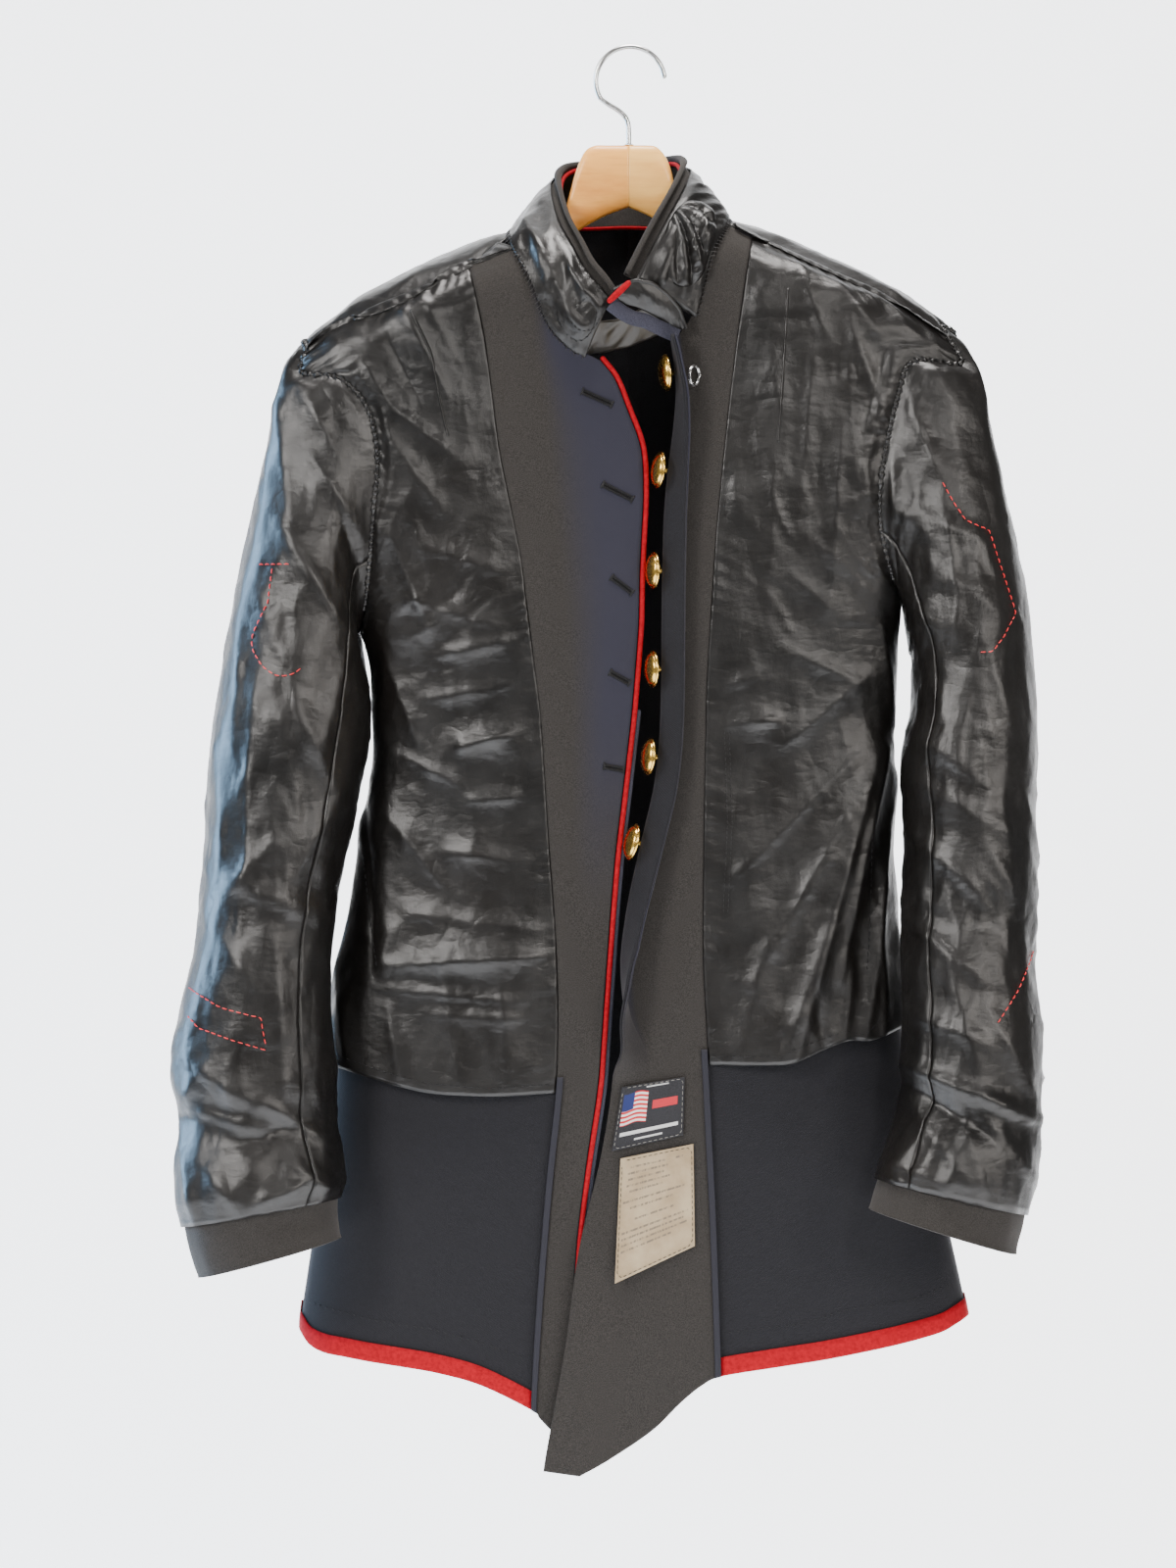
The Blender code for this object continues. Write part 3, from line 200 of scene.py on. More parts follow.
# Sleeve rings: outer x, outer z, inner x, inner z, middle y, half depth, share of armhole
LEFT_RINGS = (
    (-223, -207, -186, -403, -22, 48, 1.0), (-236, -216, -190, -405, -22, 50, 0.84),
    (-243, -237, -190, -408, -22, 52, 0.66), (-247, -265, -188, -413, -22, 54, 0.48),
    (-257, -313, -183, -428, -24, 56, 0.26), (-270, -375, -180, -452, -27, 57, 0.08),
    (-280, -435, -181, -485, -31, 57, 0), (-286, -500, -189, -525, -36, 56, 0),
    (-292, -560, -199, -572, -42, 54, 0), (-297, -620, -208, -622, -48, 51, 0),
    (-308, -672, -208, -668, -54, 48, 0), (-314, -705, -204, -703, -58, 46, 0),
    (-310, -740, -201, -738, -62, 44, 0), (-309, -780, -196, -772, -66, 42, 0),
    (-307, -814, -199, -794, -70, 41, 0), (-301, -838, -197, -812, -72, 41, 0),
    (-296, -849, -196, -821, -73, 41, 0))
RIGHT_RINGS = (
    (221, -202, 189, -385, -22, 48, 1.0), (234, -210, 192, -387, -22, 50, 0.84),
    (241, -228, 192, -390, -22, 52, 0.66), (246, -255, 192, -395, -22, 54, 0.48),
    (257, -300, 193, -408, -24, 58, 0.26), (268, -355, 196, -428, -27, 60, 0.08),
    (278, -405, 196, -460, -30, 59, 0), (279, -470, 187, -500, -35, 57, 0),
    (279, -530, 192, -545, -41, 54, 0), (280, -585, 188, -590, -48, 52, 0),
    (277, -625, 187, -628, -56, 50, 0), (280, -670, 189, -668, -62, 48, 0),
    (281, -710, 188, -708, -68, 46, 0), (281, -750, 181, -742, -76, 44, 0),
    (272, -805, 168, -780, -84, 42, 0), (268, -820, 164, -792, -86, 42, 0),
    (265, -832, 162, -800, -88, 42, 0))
LINING_END_RING = 14
SLEEVE_MIDDLE = 247 * MM
SLEEVE_SEAM_COLUMNS = 2

# Creases that stand out of a sleeve or dip into it: z, half width, height, middle angle
LEFT_SLEEVE_CREASES = (
    (-742, 12, -5, 60), (-590, 16, -3, 90), (-470, 20, 3, 40), (-660, 16, 3, 20), (-785, 14, 3, 100))
RIGHT_SLEEVE_CREASES = (
    (-728, 12, -5, 70), (-600, 14, -3, 120), (-480, 18, 2, 60), (-430, 14, -2, 110), (-690, 16, 2, 40))

# Folds of the lining: start x, start z, end x, end z, half width, height
LEFT_FOLDS = (
    (-120, -488, -74, -474, 15, 4), (-150, -620, -60, -640, 18, 4), (-165, -250, -152, -340, 16, 4),
    (-150, -190, -128, -270, 14, 3), (-172, -480, -168, -640, 14, 4), (-110, -560, -66, -585, 16, 3))
RIGHT_FOLDS = (
    (162, -491, 112, -702, 20, 8), (150, -500, 70, -690, 15, 4), (66, -467, 104, -473, 14, 4),
    (165, -240, 150, -330, 15, 4), (100, -190, 96, -300, 14, 3), (92, -560, 70, -640, 15, 3))
BACK_FOLDS = (
    (-110, -230, -60, -420, 20, 4), (120, -240, 70, -400, 18, 4), (-140, -470, -60, -520, 18, 4),
    (150, -480, 50, -560, 18, 5), (-40, -560, -70, -700, 20, 4), (60, -590, 40, -700, 20, 4))
CENTRE_PLEAT = (9 * MM, 4 * MM)

# Buttons down the band: z
BUTTON_HEIGHTS = (-228, -297, -365, -432, -493, -553)
RING_PLACE = (42.5, -231)

# Labels on the right facing, four corners each: x, z (top left, top right, low right, low left)
WOVEN_LABEL = ((-5, -719), (38, -712), (37, -752), (-12, -763))
CARE_LABEL = ((-6, -768), (44, -758), (45, -828), (-10, -853))

# Hanger half: x, top z, bottom z, half thickness
LEFT_WOOD = (
    (0.0, -67, -110, 8), (14, -67, -115, 8), (24, -67.3, -120, 8), (31, -72, -124, 8),
    (37, -86, -128, 8), (42, -104, -131, 8), (46, -115, -134, 8), (60, -123, -142, 8.5))
RIGHT_WOOD = (
    (0.0, -67, -110, 8), (12, -67, -115, 8), (19, -68, -119, 8), (25, -74, -122, 8), (29, -83, -125, 8),
    (33, -98, -128, 8), (40, -106, -132, 8), (50, -115, -138, 8.5), (60, -121, -145, 8.5))
ARM_CLEAR = 0.9 * MM
NECK_CLEAR = 6 * MM
ARM_HEIGHT = 25 * MM
ARM_THICK = (9 * MM, 11 * MM)

# Creases of the lining, seen from the front: x, z to x, z, half width, height
LEFT_CREASES = (
    (-182, -222, -162, -255, 7, 3), (-164, -208, -144, -247, 6, -2.5), (-155, -186, -126, -241, 7, 2.5),
    (-143, -174, -116, -222, 6, 2), (-168, -268, -129, -322, 9, 3), (-160, -255, -116, -288, 6, 2.5),
    (-109, -174, -97, -255, 7, 2), (-136, -349, -82, -366, 9, 2.5), (-163, -339, -136, -403, 8, 3),
    (-150, -384, -89, -403, 7, 2), (-129, -422, -72, -410, 9, 3), (-166, -417, -143, -484, 8, 3),
    (-136, -452, -82, -443, 7, 2), (-114, -485, -74, -474, 6, 4), (-156, -491, -116, -511, 7, 2.5),
    (-109, -522, -65, -519, 6, 3), (-163, -534, -126, -582, 8, 3), (-123, -558, -63, -565, 9, 2.5),
    (-150, -599, -61, -611, 10, 2.5), (-163, -636, -57, -629, 11, 4), (-168, -652, -69, -661, 7, 2),
    (-179, -491, -173, -639, 5, -3), (-186, -437, -179, -551, 6, 4), (-136, -669, -55, -674, 9, 2),
    (-195, -619, -189, -700, 7, 4), (-128, -636, -116, -713, 9, 2), (-88, -646, -82, -720, 9, 2),
    (-163, -666, -156, -712, 8, 2.5))
RIGHT_CREASES = (
    (139, -164, 175, -209, 8, 3), (115, -154, 137, -208, 8, 2), (151, -194, 174, -255, 6, 3),
    (177, -209, 160, -268, 6, -2), (86, -174, 81, -255, 8, 1.5), (127, -214, 117, -322, 10, 2),
    (146, -268, 137, -390, 9, 2), (100, -288, 96, -403, 10, 1.5), (74, -288, 67, -349, 7, 2),
    (66, -470, 100, -467, 5, 3), (63, -445, 86, -437, 6, 2), (106, -417, 160, -443, 9, 2.5),
    (171, -403, 177, -470, 6, 4), (160, -437, 106, -484, 8, 2.5), (164, -491, 113, -700, 11, 6),
    (171, -484, 142, -646, 7, 5), (158, -511, 86, -646, 9, 3.5), (154, -491, 69, -578, 8, 2.5),
    (177, -504, 160, -686, 7, 5), (130, -619, 106, -698, 8, 3), (93, -619, 74, -700, 10, 2.5),
    (150, -632, 146, -687, 6, 3), (121, -646, 135, -698, 7, -2), (167, -599, 171, -685, 7, 4))
BACK_CREASES = (
    (-175, -200, -130, -290, 9, 3), (-150, -180, -90, -270, 10, 3), (-100, -165, -50, -250, 9, 2.5),
    (-190, -330, -120, -372, 12, 3), (-180, -420, -90, -452, 14, 3), (-60, -330, -40, -520, 12, 2.5),
    (-170, -560, -60, -590, 14, 3), (-120, -640, -110, -705, 11, 3), (-60, -630, -52, -712, 10, 2.5),
    (-185, -640, -176, -700, 9, 2.5), (165, -190, 118, -282, 9, 3), (140, -170, 84, -262, 10, 3),
    (90, -150, 46, -240, 9, 2.5), (185, -322, 122, -366, 12, 3), (176, -432, 86, -470, 14, 3),
    (58, -340, 44, -540, 12, 2.5), (170, -548, 60, -600, 14, 3), (120, -622, 112, -696, 11, 3),
    (66, -636, 56, -710, 10, 2.5), (186, -626, 178, -672, 9, 2.5))
LEFT_ARM_CREASES = (
    (-231, -228, -200, -288, 7, 3), (-210, -222, -182, -262, 6, 3), (-241, -255, -231, -336, 7, 3),
    (-217, -288, -177, -349, 8, 3), (-200, -322, -182, -376, 7, -3), (-247, -322, -210, -376, 8, 3),
    (-256, -376, -231, -437, 7, 2), (-231, -349, -195, -403, 7, 3), (-264, -376, -269, -484, 8, 3),
    (-190, -403, -210, -484, 8, 4), (-231, -443, -200, -524, 8, 3), (-256, -457, -261, -578, 9, 3),
    (-281, -470, -276, -565, 9, 3), (-197, -511, -231, -578, 8, 4), (-241, -551, -278, -588, 7, 3.5),
    (-271, -578, -210, -602, 8, 4), (-288, -599, -257, -646, 8, 2.5), (-210, -605, -216, -700, 8, 3),
    (-241, -619, -237, -713, 10, 3), (-298, -700, -257, -730, 8, 3), (-295, -733, -247, -747, 7, 4),
    (-251, -727, -204, -757, 7, 5), (-271, -757, -217, -740, 6, -3), (-291, -767, -264, -801, 8, 3),
    (-268, -807, -220, -780, 6, 4), (-231, -767, -205, -791, 6, 3.5), (-305, -747, -295, -814, 7, 3))
RIGHT_ARM_CREASES = (
    (194, -208, 231, -262, 7, 3.5), (184, -228, 211, -295, 6, 3), (174, -255, 184, -322, 6, 3.5),
    (214, -214, 241, -268, 7, 2.5), (177, -309, 214, -349, 7, 3), (194, -322, 248, -349, 7, 3),
    (174, -349, 208, -403, 7, 4), (208, -363, 268, -403, 8, 3), (197, -403, 221, -484, 8, 3),
    (241, -410, 268, -497, 8, 2.5), (191, -470, 241, -511, 8, 3), (201, -511, 272, -551, 8, 3),
    (194, -545, 235, -582, 7, 4), (241, -551, 275, -612, 8, 2.5), (187, -599, 241, -646, 8, 3.5),
    (214, -619, 235, -700, 9, 2.5), (191, -666, 241, -686, 7, 3), (184, -700, 278, -740, 6, 6),
    (191, -716, 255, -757, 6, -4), (194, -727, 228, -780, 7, 4), (241, -740, 275, -780, 7, 3.5),
    (177, -767, 235, -791, 6, 3), (221, -713, 241, -794, 7, 2.5), (251, -679, 275, -727, 7, 3))
COLLAR_CREASES = (
    (-51, -106, -30, -174, 5, 2.5), (-65, -133, -35, -194, 6, 2.5), (-55, -174, -20, -204, 5, 2),
    (-69, -127, -55, -167, 5, 2), (-42, -154, -13, -194, 5, 2.5), (39, -100, 20, -147, 6, 3),
    (56, -117, 32, -154, 5, 2.5), (51, -133, 35, -174, 5, 2), (63, -123, 47, -167, 4, 1.5),
    (32, -133, 18, -174, 5, 2.5))

# Lines of sewing, seen from the front: x, z
LEFT_DART = ((-150, -186), (-136, -216), (-129, -253), (-123, -278))
RIGHT_DART = ((109, -171), (105, -235), (102, -278))
LEFT_FORWARD_SEAM = ((-79, -143), (-111, -153), (-152, -179), (-173, -187), (-195, -193))
LEFT_SIDE_STITCH = ((-185, -547), (-177, -613), (-173, -640))
RIGHT_SIDE_STITCH = ((167, -545), (166, -599), (163, -646))
RIGHT_DOUBLE_STITCH = ((67, -474), (69, -538), (66, -603))
LEFT_SHORT_STITCH = ((-69, -496), (-69, -518))
LEFT_LINING_HEM_STITCH = ((-202, -698), (-175, -707), (-143, -716), (-96, -720), (-49, -717))
RIGHT_LINING_HEM_STITCH = ((55, -698), (106, -698), (111, -694), (148, -681), (163, -684), (174, -671))
LEFT_SKIRT_STITCH = ((-224, -869), (-178, -880), (-135, -886), (-92, -898), (-69, -907))
RIGHT_SKIRT_STITCH = ((67, -888), (120, -882), (152, -872), (194, -867), (224, -856))
LEFT_TAB_STITCH_1 = ((-254, -361), (-229, -361))
LEFT_TAB_STITCH_2 = (
    (-244, -363), (-247, -387), (-257, -408), (-258, -418), (-251, -430), (-242, -437), (-231, -437),
    (-223, -431))
LEFT_BAR_STITCH_1 = ((-301, -650), (-278, -663), (-251, -670), (-247, -692))
LEFT_BAR_STITCH_2 = ((-247, -692), (-270, -685), (-293, -677), (-303, -667))
RIGHT_TAB_STITCH = (
    (214, -304), (222, -319), (230, -331), (246, -338), (251, -354), (255, -366), (264, -394),
    (255, -411), (247, -421), (235, -421))
RIGHT_BAR_STITCH = ((276, -625), (264, -651), (251, -671), (247, -676))
COLLAR_DIAGONAL = ((-15, -167), (-43, -189))
FOLD_RIM = ((-9, -172), (2, -168), (14, -170), (24, -177), (31, -186), (35, -197))
FOLD_FOOT = ((-6, -181), (8, -187), (20, -193), (32, -200))
KNOT_BAND = ((-12, -182), (-4, -188), (8, -194), (20, -199), (31, -203))
SCARLET_END = ((-12, -180), (-8, -175), (-3, -170))
RULED_LINES = (
    (0.90, 0.14, 0.62), (0.85, 0.10, 0.66), (0.80, 0.12, 0.60), (0.75, 0.10, 0.68), (0.70, 0.14, 0.58),
    (0.62, 0.06, 0.88), (0.56, 0.16, 0.72), (0.46, 0.22, 0.74), (0.37, 0.06, 0.92), (0.32, 0.06, 0.86),
    (0.27, 0.06, 0.90), (0.22, 0.06, 0.70), (0.90, 0.76, 0.86))
COLLAR_ARC = ((-43, -191), (-34, -200), (-25, -200), (-16, -186))

# Buttonholes on the left facing: inner end x, z and outer end x, z
BUTTONHOLES = (
    (-31, -242, -13, -250), (-17, -306, 1, -315), (-11, -370, 1, -379), (-12, -435, -1, -441),
    (-16, -499, -5, -501))


def column(rows, index):
    """One column of a table."""
    return np.array([row[index] for row in rows], float)


def read(rows, at, key, value, reach=6 * MM):
    """Value of a table at the given places, softened over a short reach."""
    keys = column(rows, key) * MM
    values = column(rows, value) * MM
    order = np.argsort(keys)
    at = np.asarray(at, float)
    spots = [np.interp(at + shift * reach, keys[order], values[order]) for shift in (-1, 0, 1)]
    return (spots[0] + 2 * spots[1] + spots[2]) / 4


def step(value, low, high):
    """Smooth step from 0 at low to 1 at high."""
    share = np.clip((np.asarray(value, float) - low) / (high - low), 0, 1)
    return share * share * (3 - 2 * share)


def ridge(x):
    """Height of the coat's top line over each x."""
    return read(RIDGE, x, 0, 1)


def drop_of(arc):
    """How far below the ridge a point lies that is this far along the cloth from it."""
    arc = np.abs(arc)
    quarter = SHOULDER_ROUND * math.pi / 2
    bend = SHOULDER_ROUND * (1 - np.cos(np.minimum(arc, quarter) / SHOULDER_ROUND))
    return bend + np.maximum(arc - quarter, 0)


def arc_of(drop):
    """Way along the cloth from the ridge to a point this far below it."""
    drop = np.maximum(drop, 0)
    bend = np.arccos(1 - np.minimum(drop, SHOULDER_ROUND) / SHOULDER_ROUND)
    return SHOULDER_ROUND * bend + np.maximum(drop - SHOULDER_ROUND, 0)


def section(z):
    """Middle, half width, front depth and back depth of the body at each height."""
    left = read(SECTIONS, z, 0, 1)
    right = read(SECTIONS, z, 0, 2)
    return (left + right) / 2, (right - left) / 2, read(SECTIONS, z, 0, 3), read(SECTIONS, z, 0, 4)


def angle_of(x, z):
    """Angle round the level section: 0 at the right side, pi at the left side."""
    middle, half, _, _ = section(z)
    share = np.clip((x - middle) / half, -1, 1)
    return np.arccos(np.sign(share) * np.abs(share) ** (SECTION_POWER / 2))


def side_of(angle, z):
    """The x of an angle round the section: half width times cos^(2 / power)."""
    middle, half, _, _ = section(z)
    cosine = np.cos(angle)
    return middle + half * np.sign(cosine) * np.abs(cosine) ** (2 / SECTION_POWER)


def coat_point(x, arc):
    """Point of the coat surface: x across, arc along the cloth from the ridge (+ is front)."""
    z = ridge(x) - drop_of(arc)
    middle, half, front, back = section(z)
    share = np.clip(np.abs(x - middle) / half, 0, 1)
    profile = (1 - share ** SECTION_POWER) ** (1 / SECTION_POWER)
    cap = np.sin(np.minimum(np.abs(arc) / SHOULDER_ROUND, math.pi / 2))
    depth = np.where(arc >= 0, -front, back)
    bend = HANGER_BEND * (x / HALF_SHOULDER) ** 2 * step(z, -650 * MM, -250 * MM)
    return np.stack([x, depth * profile * cap - bend, z], axis=-1)


def along(points, shares):
    """Points at the given shares of a path's length."""
    points = np.asarray(points, float)
    lengths = np.r_[0, np.cumsum(np.linalg.norm(np.diff(points, axis=0), axis=1))]
    at = np.asarray(shares) * lengths[-1]
    return np.stack([np.interp(at, lengths, points[:, k]) for k in range(points.shape[1])], axis=-1)


def line_points(rows):
    """Rows x, z, face of a seam as x and arc from the ridge."""
    x = column(rows, 0) * MM
    z = column(rows, 1) * MM
    return np.stack([x, column(rows, 2) * arc_of(ridge(x) - z)], axis=-1)


def armhole_x(side, z):
    """The armhole seam's x at each height."""
    return read(LEFT_ARMHOLE if side < 0 else RIGHT_ARMHOLE, z, 0, 1)


def outer_line(side, face):
    """The armhole above the underarm and the side seam below it, as x for each height."""
    rows = LEFT_ARMHOLE if side < 0 else RIGHT_ARMHOLE
    top, low = rows[0], rows[-1]

    def line(z):
        middle, half, _, _ = section(z)
        cut = armhole_x(side, z)
        if face < 0:
            chord = np.interp(-z, [-top[0] * MM, -low[0] * MM], [top[1] * MM, low[1] * MM])
            cut = chord + BACK_ARMHOLE_SHARE * (cut - chord)
        return np.where(z > low[0] * MM, cut, middle + side * half)

    return line


def table_line(rows):
    """A long line of the cut, as x for each height."""
    return lambda z: read(rows, z, 0, 1)


def table_hem(rows):
    """A hem, as its height for each x."""
    return lambda x: read(rows, x, 0, 1)


def armhole_shares():
    """Row shares from shoulder to underarm, closer together at both ends."""
    even = np.linspace(0, 1, ARMHOLE_ROWS + 1)
    return (even + (1 - np.cos(math.pi * even)) / 2) / 2


def first_rows(start, end, face):
    """Arcs of the rows from the top to the underarm. The back has a row on the ridge."""
    if face > 0:
        return start + (end - start) * armhole_shares()[:, None]
    crest = np.where(start > 0, 0.0, start - CREST_STEP)
    rows = [start, (start + crest) / 2]
    return np.array(rows + [crest + (end - crest) * share for share in BACK_ROW_SHARES])


def lay_panel(tops, lines, counts, hems, face):
    """Grid of x and arc: columns run between the long lines, rows between the cross lines."""
    shares = np.concatenate([np.arange(n) / n + k for k, n in enumerate(counts)] + [[len(counts)]])
    strip = np.minimum(shares.astype(int), len(counts) - 1)
    part = shares - strip

    def column_x(z):
        angles = [angle_of(line(z), z) for line in lines]
        stacked = np.stack(angles)
        low = np.take_along_axis(stacked, strip[None] * np.ones_like(z, int)[None], 0)[0]
        high = np.take_along_axis(stacked, (strip[None] + 1) * np.ones_like(z, int)[None], 0)[0]
        return side_of(low + (high - low) * part, z)

    levels = []
    for hem in hems:
        x = tops[:, 0]
        for _ in range(12):
            x = column_x(hem(x))
        levels.append(hem(x))
    top_z = ridge(tops[:, 0]) - drop_of(tops[:, 1])
    stray = tops[:, 0] - column_x(top_z)
    arcs = [tops[:, 1]] + [face * arc_of(ridge(column_x(z)) - z) for z in levels]
    rows = list(first_rows(arcs[0], arcs[1], face))
    fades = [(1 - share) ** 2 for share in armhole_shares()]
    for band, count in enumerate((WAIST_ROWS, SKIRT_ROWS, 1), 1):
        for share in np.arange(1, count + 1) / count:
            rows.append(arcs[band] + (arcs[band + 1] - arcs[band]) * share)
            fades.append(0.0)
    grid_x = []
    for arc, fade in zip(rows, fades):
        x = tops[:, 0]
        for _ in range(8):
            z = ridge(x) - drop_of(arc)
            x = column_x(z) + stray * fade
        grid_x.append(x)
    return np.array(grid_x), np.array(rows)


def normals_of(points, inside):
    """Unit normals of a grid, pointing away from the inside point."""
    down = np.gradient(points, axis=0)
    across = np.gradient(points, axis=1)
    normal = np.cross(down, across)
    normal /= np.maximum(np.linalg.norm(normal, axis=-1, keepdims=True), 1e-12)
    away = points - np.asarray(inside)
    turn = np.sign(np.median(np.sum(normal * away, axis=-1)))
    return normal * turn


def underarm(side):
    """Height of the armhole's lowest point."""
    return (LEFT_ARMHOLE if side < 0 else RIGHT_ARMHOLE)[-1][0] * MM


def front_panel(side):
    """Points and normals of one front, from the side seam to the front edge."""
    shoulder = line_points(LEFT_SHOULDER if side < 0 else RIGHT_SHOULDER)
    neck = line_points(LEFT_NECK if side < 0 else RIGHT_NECK)
    tops = np.concatenate([
        along(shoulder[:-1], np.arange(LINING_COLUMNS) / LINING_COLUMNS), shoulder[-2:-1], neck])
    tops[:, 1] += SHOULDER_GAP
    if side < 0:
        lines = (outer_line(side, 1), table_line(LEFT_SEAM), table_line(LEFT_EDGE))
        hems = (LEFT_LINING_HEM, LEFT_HEM)
    else:
        lines = (outer_line(side, 1), table_line(RIGHT_SEAM), fold_line)
        hems = (RIGHT_LINING_HEM, RIGHT_HEM)
    level = underarm(side)
    lining_hem, hem = (table_hem(rows) for rows in hems)
    crossings = (lambda x: np.full_like(x, level), lining_hem,
                 lambda x: hem(x) + HEM_TAPE_WIDTH, hem)
    x, arc = lay_panel(tops, lines, (LINING_COLUMNS, FACING_COLUMNS), crossings, 1)
    points = coat_point(x, arc)
    normals = normals_of(points, (0, 0.2, -0.55))
    normals[ARMHOLE_ROWS:, 0] = (side, 0, 0)
    if side > 0:
        low = step(-points[..., 2], 770 * MM, 850 * MM)
        near = step(-points[..., 0], -75 * MM, 5 * MM)
        points[..., 1] -= OVERLAP_LIFT * low * near
    return points, normals


def curl_angle(z):
    """How far the front band is turned at each height."""
    return np.radians(np.interp(-z, -column(CURL, 0) * MM, column(CURL, 1)))


def fold_line(z):
    """The button line: the free edge lies one curled band away from it."""
    angle = curl_angle(z)
    flat = BAND_WIDTH - BAND_ROLL * angle
    return read(RIGHT_EDGE, z, 0, 1) + BAND_ROLL * np.sin(angle) + flat * np.cos(angle)


def band_point(place, sideways, outward, turned, flat):
    """Point past the fold: turned through an angle on the roll, then straight on."""
    turned = np.asarray(turned)[..., None]
    flat = np.asarray(flat)[..., None]
    roll = sideways * np.sin(turned) + outward * (1 - np.cos(turned))
    run = sideways * np.cos(turned) + outward * np.sin(turned)
    return place + BAND_ROLL * roll + flat * run


def fold_direction(fold, towards, outward):
    """Unit direction across the fold line, in the cloth, on the side it goes towards."""
    run = np.gradient(fold, axis=0)
    across = np.cross(run, outward)
    across *= np.sign(np.sum(across * towards, axis=-1, keepdims=True))
    return across / np.linalg.norm(across, axis=-1, keepdims=True)


def back_panel(side):
    """Points and normals of one half of the back, from the side seam to the centre back."""
    shoulder = line_points(LEFT_SHOULDER if side < 0 else RIGHT_SHOULDER)
    neck = line_points(LEFT_BACK_NECK if side < 0 else RIGHT_BACK_NECK)
    path = np.concatenate([shoulder, neck[1:]])
    tops = along(path, np.arange(BACK_COLUMNS + 1) / BACK_COLUMNS)
    level = underarm(side)
    lining_hem, hem = table_hem(BACK_LINING_HEM), table_hem(BACK_HEM)
    crossings = (lambda x: np.full_like(x, level), lining_hem,
                 lambda x: hem(x) + HEM_TAPE_WIDTH, hem)
    lines = (outer_line(side, -1), lambda z: np.full_like(z, CENTRE_BACK))
    x, arc = lay_panel(tops, lines, (BACK_COLUMNS,), crossings, -1)
    points = coat_point(x, arc)
    normals = normals_of(points, (0, -0.2, -0.55))
    normals[ARMHOLE_ROWS:, 0] = (side, 0, 0)
    return points, normals


def spread_weights(count, at, wrap=False):
    """Catmull-Rom weights: how much each of the coarse points adds at each finer place.

    A place between points k and k+1 takes cubic shares of points k-1 to k+2. Past an open end
    the line is carried straight on.
    """
    at = np.asarray(at, float)
    cell = np.floor(at).astype(int) if wrap else np.clip(np.floor(at).astype(int), 0, count - 2)
    t = at - cell
    shares = ((-t + 2 * t ** 2 - t ** 3) / 2, (2 - 5 * t ** 2 + 3 * t ** 3) / 2,
              (t + 4 * t ** 2 - 3 * t ** 3) / 2, (-t ** 2 + t ** 3) / 2)
    found = np.zeros((len(at), count))
    rows = np.arange(len(at))
    for shift, share in zip((-1, 0, 1, 2), shares):
        spot = cell + shift
        if wrap:
            np.add.at(found, (rows, spot % count), share)
            continue
        past = (spot < 0).astype(float) + (spot >= count)
        edge = np.clip(spot, 0, count - 1)
        inner = np.where(spot < 0, 1, np.where(spot >= count, count - 2, 0))
        np.add.at(found, (rows, edge), share * (1 + past))
        np.add.at(found, (rows, inner), -share * past)
    return found


def smoothed(points, count):
    """Smooth path of so many points through coarser ones."""
    return spread_weights(len(points), np.linspace(0, len(points) - 1, count)) @ points


def steps_at(bands):
    """Places of the finer lines: each coarse step of a band is cut evenly."""
    places, start = [], 0
    for count, parts in bands:
        places.append(start + np.arange(count * parts) / parts)
        start += count
    return np.concatenate(places + [[start]])


def finer(grid, rows_at, columns_at, wrap=False):
    """Smooth grid through the coarse one, by cubic shares along rows and then columns."""
    rows = spread_weights(grid.shape[0], rows_at)
    columns = spread_weights(grid.shape[1], columns_at, wrap)
    return np.einsum("ri,ijk,cj->rck", rows, grid, columns, optimize=True)


def unit(vectors):
    """The same directions with a length of one."""
    return vectors / np.maximum(np.linalg.norm(vectors, axis=-1, keepdims=True), 1e-12)


def lengths(points, axis):
    """Running length along the rows or columns of a grid."""
    moves = np.linalg.norm(np.diff(points, axis=axis), axis=-1)
    start = np.zeros_like(np.take(moves, [0], axis=axis))
    return np.cumsum(np.concatenate([start, moves], axis=axis), axis=axis)


def front_cloth(side):
    """Fine points and normals of one front, with the curled band on the right one."""
    rows, columns = steps_at(FRONT_ROWS), steps_at(FRONT_COLUMNS)
    points, normals = (finer(grid, rows, columns) for grid in front_panel(side))
    normals = unit(normals)
    return add_curl(points, normals) if side > 0 else (points, normals)


def back_cloth(side):
    """Fine points and normals of one half of the back."""
    rows, columns = steps_at(BACK_ROWS), steps_at(BACK_FINE_COLUMNS)
    points, normals = (finer(grid, rows, columns) for grid in back_panel(side))
    return points, unit(normals)


def add_curl(points, normals):
    """Adds the band's columns: the roll in even turns, then its straight end."""
    last, before = points[:, -1], points[:, -2]
    outward = normals[:, -1]
    sideways = fold_direction(last, last - before, outward)
    angle = curl_angle(last[:, 2])
    count = np.arange(1, ROLL_COLUMNS + STRAIGHT_COLUMNS + 1)
    rolled = np.minimum(count / ROLL_COLUMNS, 1.0)
    straight = np.maximum(count - ROLL_COLUMNS, 0) / STRAIGHT_COLUMNS
    turned = angle[:, None] * rolled
    width = (BAND_WIDTH - BAND_ROLL * angle)[:, None]
    flat = ROLL_FLAT * rolled * (1 - straight) + width * straight
    spots = band_point(last[:, None], sideways[:, None], outward[:, None], turned, flat)
    turned = turned[..., None]
    facing = outward[:, None] * np.cos(turned) - sideways[:, None] * np.sin(turned)
    return np.concatenate([points, spots], axis=1), np.concatenate([normals, facing], axis=1)


def moved(points, normals, distance):
    """Points carried out along their normals."""
    return points + normals * (np.asarray(distance)[..., None] if np.ndim(distance) else distance)


